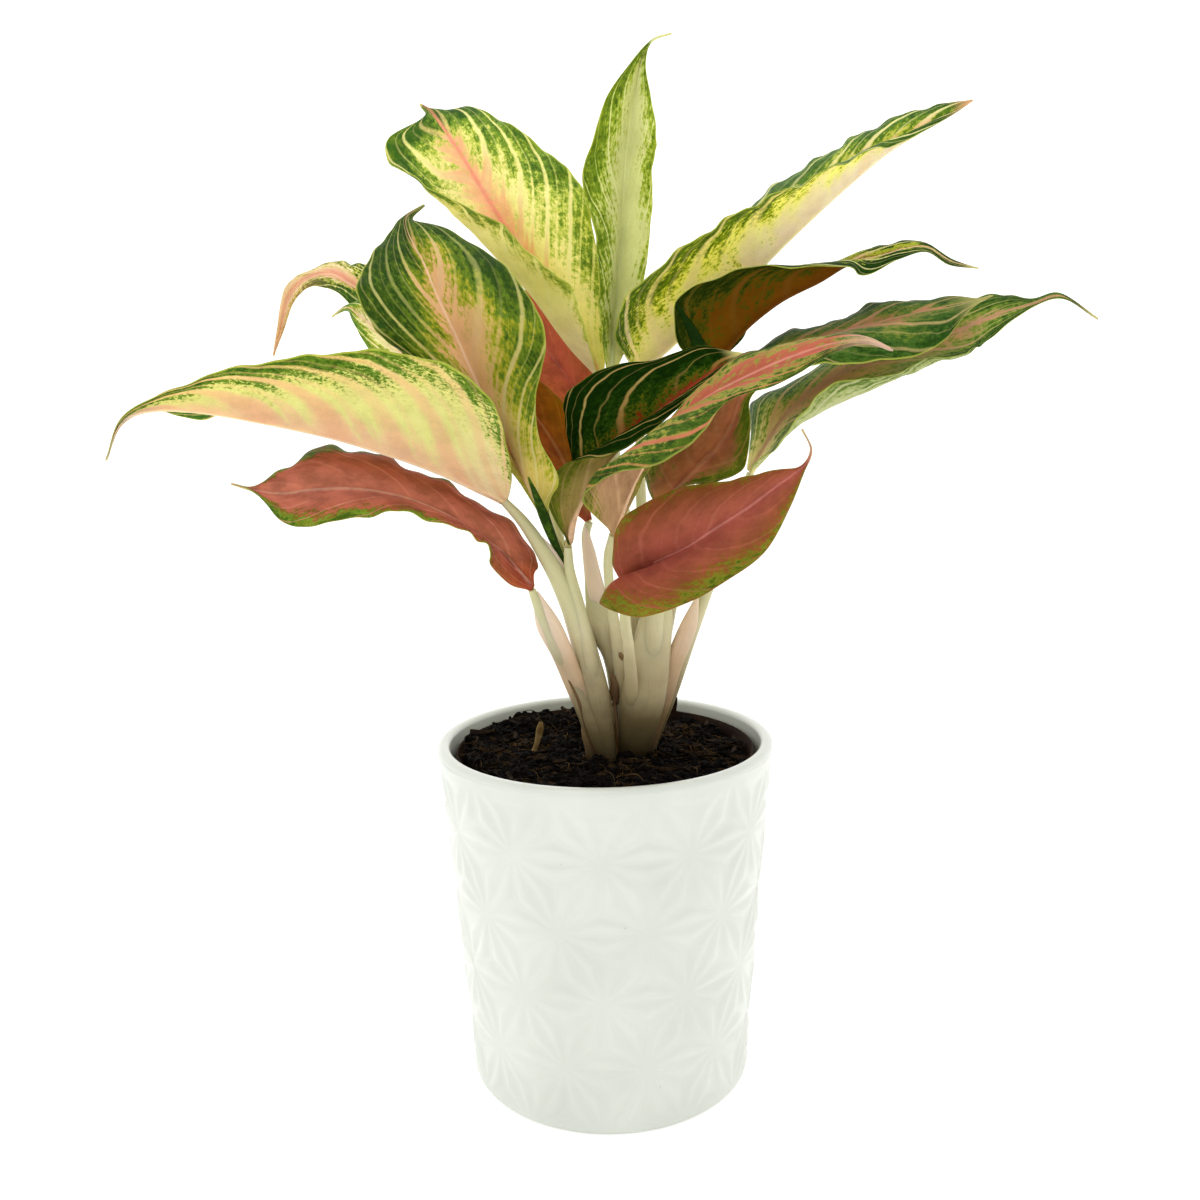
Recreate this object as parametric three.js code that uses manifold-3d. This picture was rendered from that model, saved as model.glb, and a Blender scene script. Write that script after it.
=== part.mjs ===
// A Chinese evergreen in a dark nursery pot, stood inside a white glazed cover pot.
// Millimetres, +Z up. The origin is the centre of the cover pot's foot, and -Y is the front.
import * as THREE from 'three';
import { mergeVertices } from 'three/addons/utils/BufferGeometryUtils.js';
import Module from 'manifold-3d';

const wasm = await Module();
wasm.setup();

// Cover pot
const rimRadius = 70;
const footRadius = 59.4;
const potHeight = 143.6;
const wallThickness = 5.3;
const floorThickness = 6;
const footChamfer = 1.6;
const lipRound = 2.4;
const potSides = 48;

// Star relief: stars at the corners of a triangular lattice that runs round the wall
const starsAround = 12;
const starRowPitch = 28.9;
const starTurn = THREE.MathUtils.degToRad(-1.7);
const lowestStarRow = -1.4;
const starRows = 6;
const starRise = 0.6;
const petalReach = 0.26;
const plainFootBand = 3.5;
const plainLipBand = 10.5;
const reliefSeat = 1.4;
const reliefBacking = 2.4;

// Nursery pot and soil
const growRimRadius = 62.4;
const growFootRadius = 47;
const growRimHeight = 139.4;
const growRimDrop = 6;
const growRimOverhang = 1.8;
const growWall = 1.1;
const drainHoles = 6;
const drainHoleRadius = 4;
const drainCircle = 32;
const soilHeight = 134;
const soilMound = 2.6;
const soilLump = 0.9;
const soilLumpSpacing = 19;
const soilRings = 8;
const soilSides = 30;
const gap = 0.3;

// Blades
const bladeThickness = 0.8;
const bladeSteps = 14;
const halfBladeSteps = 3;
const narrowestHalf = 0.5;
const stemSides = 7;
const stemSteps = 8;
const rootDepth = 20;
const crownRise = 6;
const crownTaper = 0.7;
const crownChamfer = 4;
const rootClearance = 0.9;

// The photographed view, fixed by the pot's rim and foot: blades and stems are placed in it as
// [px across, px down, mm behind the pot's axis], in a frame of 1200 by 1200 px.
const viewPoint = new THREE.Vector3(4.2, -442.3, 273.8);
const viewYaw = THREE.MathUtils.degToRad(-0.665);
const viewPitch = THREE.MathUtils.degToRad(9.31);
const viewRoll = THREE.MathUtils.degToRad(-1.164);
const viewFocalPx = 1086.3;
const viewMiddlePx = 600;

const forward = new THREE.Vector3(
  Math.sin(viewYaw) * Math.cos(viewPitch),
  Math.cos(viewYaw) * Math.cos(viewPitch),
  -Math.sin(viewPitch),
);
const level = new THREE.Vector3(Math.cos(viewYaw), -Math.sin(viewYaw), 0);
const across = level.clone().applyAxisAngle(forward, viewRoll);
const upward = new THREE.Vector3().crossVectors(across, forward);

function place([px, py, depth]) {
  const ray = forward.clone()
    .addScaledVector(across, (px - viewMiddlePx) / viewFocalPx)
    .addScaledVector(upward, (viewMiddlePx - py) / viewFocalPx);
  return viewPoint.clone().addScaledVector(ray, (depth - viewPoint.y) / ray.y);
}

// Closed meshes and solids
function meshOf(points, faces) {
  const geometry = new THREE.BufferGeometry();
  geometry.setAttribute('position', new THREE.Float32BufferAttribute(points.flatMap((p) => p.toArray()), 3));
  geometry.setIndex(faces.flat());
  return geometry;
}

function solidOf(geometry) {
  const bare = geometry.clone();
  bare.deleteAttribute('normal');
  bare.deleteAttribute('uv');
  const welded = mergeVertices(bare, 1e-4);
  return new wasm.Manifold(new wasm.Mesh({
    numProp: 3,
    vertProperties: new Float32Array(welded.attributes.position.array),
    triVerts: new Uint32Array(welded.index.array),
  }));
}

function geometryOf(solid) {
  const mesh = solid.getMesh();
  const geometry = new THREE.BufferGeometry();
  geometry.setAttribute('position', new THREE.BufferAttribute(mesh.vertProperties, 3));
  geometry.setIndex(new THREE.BufferAttribute(mesh.triVerts, 1));
  return geometry;
}

// Two skins triangulated alike, joined along every edge that only one face uses
function sheet(front, back, faces) {
  const count = front.length;
  const used = new Set(faces.flatMap(([a, b, c]) => [`${a} ${b}`, `${b} ${c}`, `${c} ${a}`]));
  const sides = [];
  for (const [a, b, c] of faces) {
    for (const [from, to] of [[a, b], [b, c], [c, a]]) {
      if (!used.has(`${to} ${from}`)) {
        sides.push([to, from, from + count], [to, from + count, to + count]);
      }
    }
  }
  const reversed = faces.map(([a, b, c]) => [a + count, c + count, b + count]);
  return meshOf([...front, ...back], [...faces, ...reversed, ...sides]);
}

function lathe(profile, sides) {
  const turned = new THREE.LatheGeometry(profile.map(([r, z]) => new THREE.Vector2(r, z)), sides);
  return turned.rotateX(Math.PI / 2);
}

function finish(name, geometry, colour, roughness) {
  const material = new THREE.MeshStandardMaterial({ color: colour, roughness, metalness: 0 });
  const mesh = new THREE.Mesh(geometry, material);
  mesh.name = name;
  return mesh;
}

// Cover pot
function wallRadius(z) {
  return footRadius + (rimRadius - footRadius) * z / potHeight;
}

function onWall(turn, z, inset) {
  const radius = wallRadius(z) - inset;
  return new THREE.Vector3(radius * Math.sin(turn), -radius * Math.cos(turn), z);
}

// Each lattice triangle holds three half petals: a tent along each edge, from star to star
function starRelief() {
  const starPitch = 2 * Math.PI / starsAround;
  const inner = starRise + reliefBacking;
  const front = [];
  const back = [];
  const faces = [];
  const index = new Map();
  function point(turn, z, rise) {
    const wrapped = ((turn % (2 * Math.PI)) + 2 * Math.PI) % (2 * Math.PI);
    const key = `${Math.round(wrapped * 1e4) % Math.round(2 * Math.PI * 1e4)} ${Math.round(z * 1e3)}`;
    if (!index.has(key)) {
      index.set(key, front.length);
      front.push(onWall(turn, z, starRise - rise));
      back.push(onWall(turn, z, inner));
    }
    return index.get(key);
  }
  function mix(corners, weights, rise) {
    const turn = corners.reduce((sum, c, i) => sum + c[0] * weights[i], 0);
    const z = corners.reduce((sum, c, i) => sum + c[1] * weights[i], 0);
    return point(turn, z, rise);
  }
  function triangle(corners) {
    const middle = mix(corners, [1 / 3, 1 / 3, 1 / 3], 0);
    for (let k = 0; k < 3; k += 1) {
      const [a, b, c] = [corners[k], corners[(k + 1) % 3], corners[(k + 2) % 3]];
      // petalReach is a distance in pitches, and an apex is sin 60 pitches from its edge
      const reach = petalReach / Math.sin(Math.PI / 3);
      const start = mix([a, b, c], [1, 0, 0], 0);
      const end = mix([a, b, c], [0, 1, 0], 0);
      const groove = mix([a, b, c], [0.5, 0.5, 0], 0);
      const crest = mix([a, b, c], [0.5 - reach / 4, 0.5 - reach / 4, reach / 2], starRise);
      const outer = mix([a, b, c], [0.5 - reach / 2, 0.5 - reach / 2, reach], 0);
      faces.push([start, groove, crest], [groove, end, crest]);
      faces.push([start, crest, outer], [crest, end, outer]);
      faces.push([start, outer, middle], [outer, end, middle]);
    }
  }
  for (let row = 0; row < starRows - 1; row += 1) {
    const z = lowestStarRow + row * starRowPitch;
    for (let k = 0; k < starsAround; k += 1) {
      const turn = starTurn + (k + (row % 2) / 2) * starPitch;
      const low = [turn, z];
      const lowNext = [turn + starPitch, z];
      const high = [turn + starPitch / 2, z + starRowPitch];
      const highNext = [turn + starPitch * 1.5, z + starRowPitch];
      triangle([low, lowNext, high]);
      triangle([lowNext, highNext, high]);
    }
  }
  return sheet(front, back, faces);
}

function coverPot() {
  const reliefTop = potHeight - plainLipBand;
  const recess = starRise + reliefSeat;
  const inner = (z) => wallRadius(z) - wallThickness;
  const lip = [0, 1, 2, 3].map((k) => {
    const angle = k * Math.PI / 6;
    const radius = rimRadius - lipRound + lipRound * Math.cos(angle);
    return [radius, potHeight - lipRound + lipRound * Math.sin(angle)];
  });
  const body = lathe([
    [0, 0],
    [footRadius - footChamfer, 0],
    [wallRadius(footChamfer), footChamfer],
    [wallRadius(plainFootBand), plainFootBand],
    [wallRadius(plainFootBand) - recess, plainFootBand],
    [wallRadius(reliefTop) - recess, reliefTop],
    [wallRadius(reliefTop), reliefTop],
    ...lip,
    [inner(potHeight) + lipRound * 0.4, potHeight],
    [inner(potHeight), potHeight - lipRound * 0.5],
    [inner(floorThickness + 4), floorThickness + 4],
    [inner(floorThickness) - 4, floorThickness],
    [0, floorThickness],
  ], potSides);
  // The relief runs a little way into both plain bands, which stand as proud as the petals
  const trim = lathe([
    [0, plainFootBand - gap],
    [rimRadius + 5, plainFootBand - gap],
    [rimRadius + 5, reliefTop + gap],
    [0, reliefTop + gap],
  ], 6);
  const relief = solidOf(starRelief()).intersect(solidOf(trim));
  return finish('cover_pot', geometryOf(solidOf(body).add(relief)), 0xdde2d9, 0.4);
}

// Nursery pot: thin wall, rolled rim, drain holes in its floor
function growPot() {
  const bottom = floorThickness + gap;
  const underRim = growRimHeight - growRimDrop;
  const wallTop = growRimRadius - growRimOverhang;
  const body = lathe([
    [0, bottom],
    [growFootRadius, bottom],
    [wallTop, underRim],
    [growRimRadius, underRim],
    [growRimRadius, growRimHeight],
    [growRimRadius - growWall, growRimHeight],
    [wallTop - growWall, underRim - growWall],
    [growFootRadius - growWall, bottom + growWall],
    [0, bottom + growWall],
  ], potSides);
  let solid = solidOf(body);
  for (let k = 0; k < drainHoles; k += 1) {
    const turn = 2 * Math.PI * k / drainHoles;
    const hole = new THREE.CylinderGeometry(drainHoleRadius, drainHoleRadius, 4 * growWall, 12)
      .rotateX(Math.PI / 2)
      .translate(drainCircle * Math.cos(turn), drainCircle * Math.sin(turn), bottom);
    solid = solid.subtract(solidOf(hole));
  }
  return finish('grow_pot', geometryOf(solid), 0x1f1610, 0.5);
}

// Soil: crumbly top, higher at the left and back, with one plain hole for each clump of stems
function soilTop(x, y) {
  const reach = Math.hypot(x, y) / growRimRadius;
  const leftAndBack = 0.5 + (y - x) / (2 * Math.SQRT2 * growRimRadius);
  const mound = soilMound * leftAndBack * (0.4 + 0.6 * reach);
  const wave = 2 * Math.PI / soilLumpSpacing;
  return soilHeight + mound + soilLump * Math.sin(x * wave) * Math.sin(y * wave + 1);
}

function soilRadius(z) {
  const bottom = floorThickness + gap;
  const rise = (z - bottom) / (growRimHeight - growRimDrop - bottom);
  const taper = growFootRadius + (growRimRadius - growRimOverhang - growFootRadius) * Math.min(rise, 1);
  return taper - growWall - 3 * gap;
}

function pottingSoil() {
  const base = floorThickness + 2 * gap + growWall;
  const top = [new THREE.Vector3(0, 0, soilTop(0, 0))];
  const bottom = [new THREE.Vector3(0, 0, base)];
  const faces = [];
  for (let ring = 1; ring <= soilRings; ring += 1) {
    for (let k = 0; k < soilSides; k += 1) {
      const turn = 2 * Math.PI * (k + (ring % 2) / 2) / soilSides;
      const out = ring / soilRings;
      const wide = soilRadius(growRimHeight) * out;
      const narrow = (soilRadius(base) - 0.4) * out;
      const [x, y] = [wide * Math.cos(turn), wide * Math.sin(turn)];
      top.push(new THREE.Vector3(x, y, soilTop(x, y)));
      bottom.push(new THREE.Vector3(narrow * Math.cos(turn), narrow * Math.sin(turn), base));
      const here = 1 + (ring - 1) * soilSides + k;
      const next = 1 + (ring - 1) * soilSides + (k + 1) % soilSides;
      if (ring === 1) {
        faces.push([0, here, next]);
      } else {
        const turned = ring % 2;
        const inner = 1 + (ring - 2) * soilSides + k;
        const innerNext = 1 + (ring - 2) * soilSides + (k + 1) % soilSides;
        if (turned) {
          faces.push([inner, here, innerNext], [here, next, innerNext]);
        } else {
          faces.push([inner, here, next], [inner, next, innerNext]);
        }
      }
    }
  }
  let solid = solidOf(sheet(top, bottom, faces));
  for (const { foot, radius } of Object.values(clumps)) {
    const centre = place(foot);
    const hole = new THREE.CylinderGeometry(radius + gap, radius + gap, rootDepth + 20, 24)
      .rotateX(Math.PI / 2)
      .translate(centre.x, centre.y, centre.z - rootDepth - gap + (rootDepth + 20) / 2);
    solid = solid.subtract(solidOf(hole));
  }
  return finish('potting_soil', geometryOf(solid), 0x24170f, 0.95);
}

// A tapered stem through its points, each [across, down, depth, radius]
function stem(points) {
  const path = new THREE.CatmullRomCurve3(points.map(place), false, 'catmullrom');
  const girth = new THREE.CatmullRomCurve3(
    points.map((p) => new THREE.Vector3(p[3], 0, 0)), false, 'catmullrom');
  const rings = [];
  const faces = [];
  const startAt = rootClearance / path.getLength();
  for (let i = 0; i <= stemSteps; i += 1) {
    const t = startAt + (1 - startAt) * i / stemSteps;
    const centre = path.getPoint(t);
    const tangent = path.getTangent(t);
    const side = new THREE.Vector3(0, 1, 0).cross(tangent).normalize();
    const front = new THREE.Vector3().crossVectors(tangent, side);
    for (let k = 0; k < stemSides; k += 1) {
      const angle = 2 * Math.PI * k / stemSides;
      rings.push(centre.clone()
        .addScaledVector(side, girth.getPoint(t).x * Math.cos(angle))
        .addScaledVector(front, girth.getPoint(t).x * Math.sin(angle)));
      if (i < stemSteps) {
        const a = i * stemSides + k;
        const b = i * stemSides + (k + 1) % stemSides;
        faces.push([a, b, a + stemSides], [b, b + stemSides, a + stemSides]);
      }
    }
  }
  const last = stemSteps * stemSides;
  for (let k = 1; k < stemSides - 1; k += 1) {
    faces.push([0, k + 1, k], [last, last + k, last + k + 1]);
  }
  return solidOf(meshOf(rings, faces));
}

function clump(name, { foot, radius, colour, stems }) {
  const centre = place(foot);
  const crown = lathe([
    [0, -rootDepth],
    [radius * crownTaper, -rootDepth],
    [radius, crownChamfer - rootDepth],
    [radius, crownRise - crownChamfer],
    [radius * crownTaper, crownRise],
    [0, crownRise],
  ], 20).translate(centre.x, centre.y, centre.z);
  let solid = solidOf(crown);
  for (const points of Object.values(stems)) {
    solid = solid.add(stem(points));
  }
  return finish(name, geometryOf(solid), colour, 0.45);
}

// A blade is lofted between its rib and its two margins. Each half is a parabola across, raised by
// cup mm for every 30 mm of its width, or led through its fold where a half turns over.
function throughPoints(points) {
  return new THREE.CatmullRomCurve3(points.map(place), false, 'catmullrom');
}

function blade(name, { rib, left, right, leftFold, rightFold, cup, colour }) {
  const lines = { rib: throughPoints(rib), left: throughPoints(left), right: throughPoints(right) };
  const folds = [leftFold && throughPoints(leftFold), rightFold && throughPoints(rightFold)];
  const rows = [];
  let side = new THREE.Vector3(1, 0, 0);
  for (let i = 0; i <= bladeSteps; i += 1) {
    const t = i / bladeSteps;
    const middle = lines.rib.getPoint(t);
    const tangent = lines.rib.getTangent(t);
    const margins = [lines.left.getPoint(t), lines.right.getPoint(t)];
    const span = margins[1].clone().sub(margins[0]);
    if (span.length() > 2 * narrowestHalf) {
      side = span.clone().normalize();
    }
    const row = [];
    margins.forEach((margin, half) => {
      const outward = half === 0 ? -1 : 1;
      if (margin.distanceTo(middle) < narrowestHalf) {
        margin.copy(middle).addScaledVector(side, outward * narrowestHalf);
      }
      const reach = margin.clone().sub(middle).multiplyScalar(outward);
      const upper = reach.clone().cross(tangent).normalize();
      const bend = folds[half]
        ? folds[half].getPoint(t)
        : middle.clone().add(margin).multiplyScalar(0.5)
          .addScaledVector(upper, cup[half] * reach.length() / 30);
      const control = bend.clone().multiplyScalar(2)
        .addScaledVector(middle, -0.5).addScaledVector(margin, -0.5);
      for (let j = half; j <= halfBladeSteps; j += 1) {
        const v = j / halfBladeSteps;
        const point = middle.clone().multiplyScalar((1 - v) ** 2)
          .addScaledVector(control, 2 * v * (1 - v)).addScaledVector(margin, v * v);
        row[half === 0 ? halfBladeSteps - j : halfBladeSteps + j] = point;
      }
    });
    rows.push(row);
  }
  return finish(name, thicken(rows), colour, 0.4);
}

function thicken(rows) {
  const [last, wide] = [rows.length - 1, rows[0].length - 1];
  const upper = [];
  const lower = [];
  const faces = [];
  rows.forEach((row, i) => {
    row.forEach((point, j) => {
      const along = rows[Math.min(i + 1, last)][j].clone().sub(rows[Math.max(i - 1, 0)][j]);
      const over = row[Math.min(j + 1, wide)].clone().sub(row[Math.max(j - 1, 0)]);
      const normal = over.cross(along).normalize();
      upper.push(point.clone().addScaledVector(normal, bladeThickness / 2));
      lower.push(point.clone().addScaledVector(normal, -bladeThickness / 2));
      if (i < last && j < wide) {
        const a = i * (wide + 1) + j;
        const b = a + wide + 1;
        faces.push([a, a + 1, b], [a + 1, b + 1, b]);
      }
    });
  });
  return sheet(upper, lower, faces);
}

// Two clumps of stems. Each stem runs from its blade down into the clump's crown.
const clumps = {
  stems_left: {
    foot: [605, 755, -11],
    radius: 5.8,
    colour: 0xcfc9a4,
    stems: {
      left_long: [
        [504, 501, -25, 1.6], [524, 523, -22, 2.3], [541, 548, -20, 3.0], [560, 580, -17, 4.0],
        [576, 618, -14, 4.6], [588, 660, -11, 5.0], [598, 700, -12, 5.2], [605, 754, -11, 4.8],
      ],
      left_broad: [
        [562, 553, -13, 1.6], [571, 585, -13, 2.6], [582, 630, -12, 3.6], [594, 685, -12, 4.4],
        [606, 752, -10.5, 4.6],
      ],
      left_coral: [
        [532, 590, -22, 1.5], [545, 623, -20, 2.6], [556, 647, -17, 3.0], [573, 680, -13, 3.6],
        [590, 720, -13, 4.2], [603, 753, -11.5, 4.4],
      ],
      centre_dark: [
        [568, 547, -22, 1.6], [570, 572, -20, 2.0], [580, 610, -17, 2.4], [590, 660, -14, 3.0],
        [600, 715, -11, 3.6], [606, 750, -10, 4],
      ],
      back_drooping: [
        [455, 378, 57, 1.4], [498, 418, 42, 1.7], [537, 475, 26, 1.9], [560, 540, 14, 2.0],
        [571, 600, 6, 2.2], [586, 650, -1, 2.4], [597, 700, -6, 2.8], [606, 745, -9, 3.4],
      ],
      back_pale: [
        [480, 425, 27, 1.4], [520, 470, 16, 1.7], [552, 535, 6, 1.9], [568, 592, -2, 2.2],
        [584, 645, -5, 2.4], [596, 700, -8, 2.8], [606, 745, -9, 3.4],
      ],
    },
  },
  stems_right: {
    foot: [636, 753, 2],
    radius: 8.6,
    colour: 0xd6ccaa,
    stems: {
      back_orange: [
        [589, 522, -2, 1.6], [586, 535, -1, 1.8], [589, 553, 0, 2.7], [593, 577, 0, 3.5],
        [597, 601, -1, 4.8], [603, 626, -2, 6.4], [614, 655, -1, 4.8], [620, 695, 1, 4.2],
        [629, 752, 2, 4.6],
      ],
      centre_rolled: [
        [613, 535, -32, 1.6], [608, 560, -26, 1.8], [611, 600, -19, 2.0], [618, 650, -10, 2.6],
        [625, 700, -4, 3.4], [630, 752, 0, 4.2],
      ],
      front_coral: [
        [628, 591, -44, 1.4], [625, 620, -34, 2.1], [629, 650, -24, 2.2], [632, 695, -13, 3.0],
        [634, 752, -2, 4.6],
      ],
      centre_brown: [
        [661, 510, -20, 1.5], [660, 560, -16, 2.2], [656, 610, -12, 3.4], [651, 660, -8, 4.6],
        [645, 705, -2, 5.2], [640, 752, 1, 5.4],
      ],
      right_twisted: [
        [713, 366, 2, 1.5], [703, 420, 5, 1.8], [686, 500, 6, 2.2], [670, 570, 4, 3], [659, 625, 2, 4.2],
        [650, 690, 3, 4.8], [641, 752, 4, 5.2],
      ],
      right_dark: [
        [733, 378, -2, 1.5], [722, 420, 4, 1.8], [700, 490, 8, 2.2], [678, 570, 7, 2.8],
        [664, 630, 5, 3.6], [652, 690, 5, 4.4], [642, 751, 5, 5],
      ],
      right_low: [
        [750.4, 473, 6, 1.5], [735, 520, 4, 2.0], [713, 575, 1, 2.3], [701, 605, -1, 2.8],
        [684, 645, -2, 4.0], [668, 690, 1, 4.4], [650, 735, 2, 4.6], [641, 757, 2, 4.6],
      ],
      upper_right: [
        [640, 373, 14, 1.5], [640, 440, 14, 1.9], [642, 520, 12, 2.3], [648, 600, 8, 3],
        [648, 680, 6, 4.4], [639, 750, 5, 5],
      ],
      upper_left: [
        [600, 377, 6, 1.5], [604, 440, 8, 1.9], [615, 500, 10, 2.2], [625, 560, 10, 2.6],
        [636, 620, 8, 3.4], [638, 690, 7, 4.2], [633, 750, 5, 5],
      ],
      top: [
        [610, 377, 1, 1.5], [615, 450, 3, 1.9], [626, 520, 8, 2.2], [634, 580, 13, 2.6],
        [641, 630, 10, 3.4], [642, 690, 9, 4.2], [636, 749, 6, 5],
      ],
      back_red: [
        [602, 455, 22, 1.5], [612, 500, 20, 1.8], [622, 550, 20, 2.2], [632, 610, 16, 2.6],
        [640, 680, 12, 3.4], [637, 748, 8, 4.4],
      ],
    },
  },
};

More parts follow.
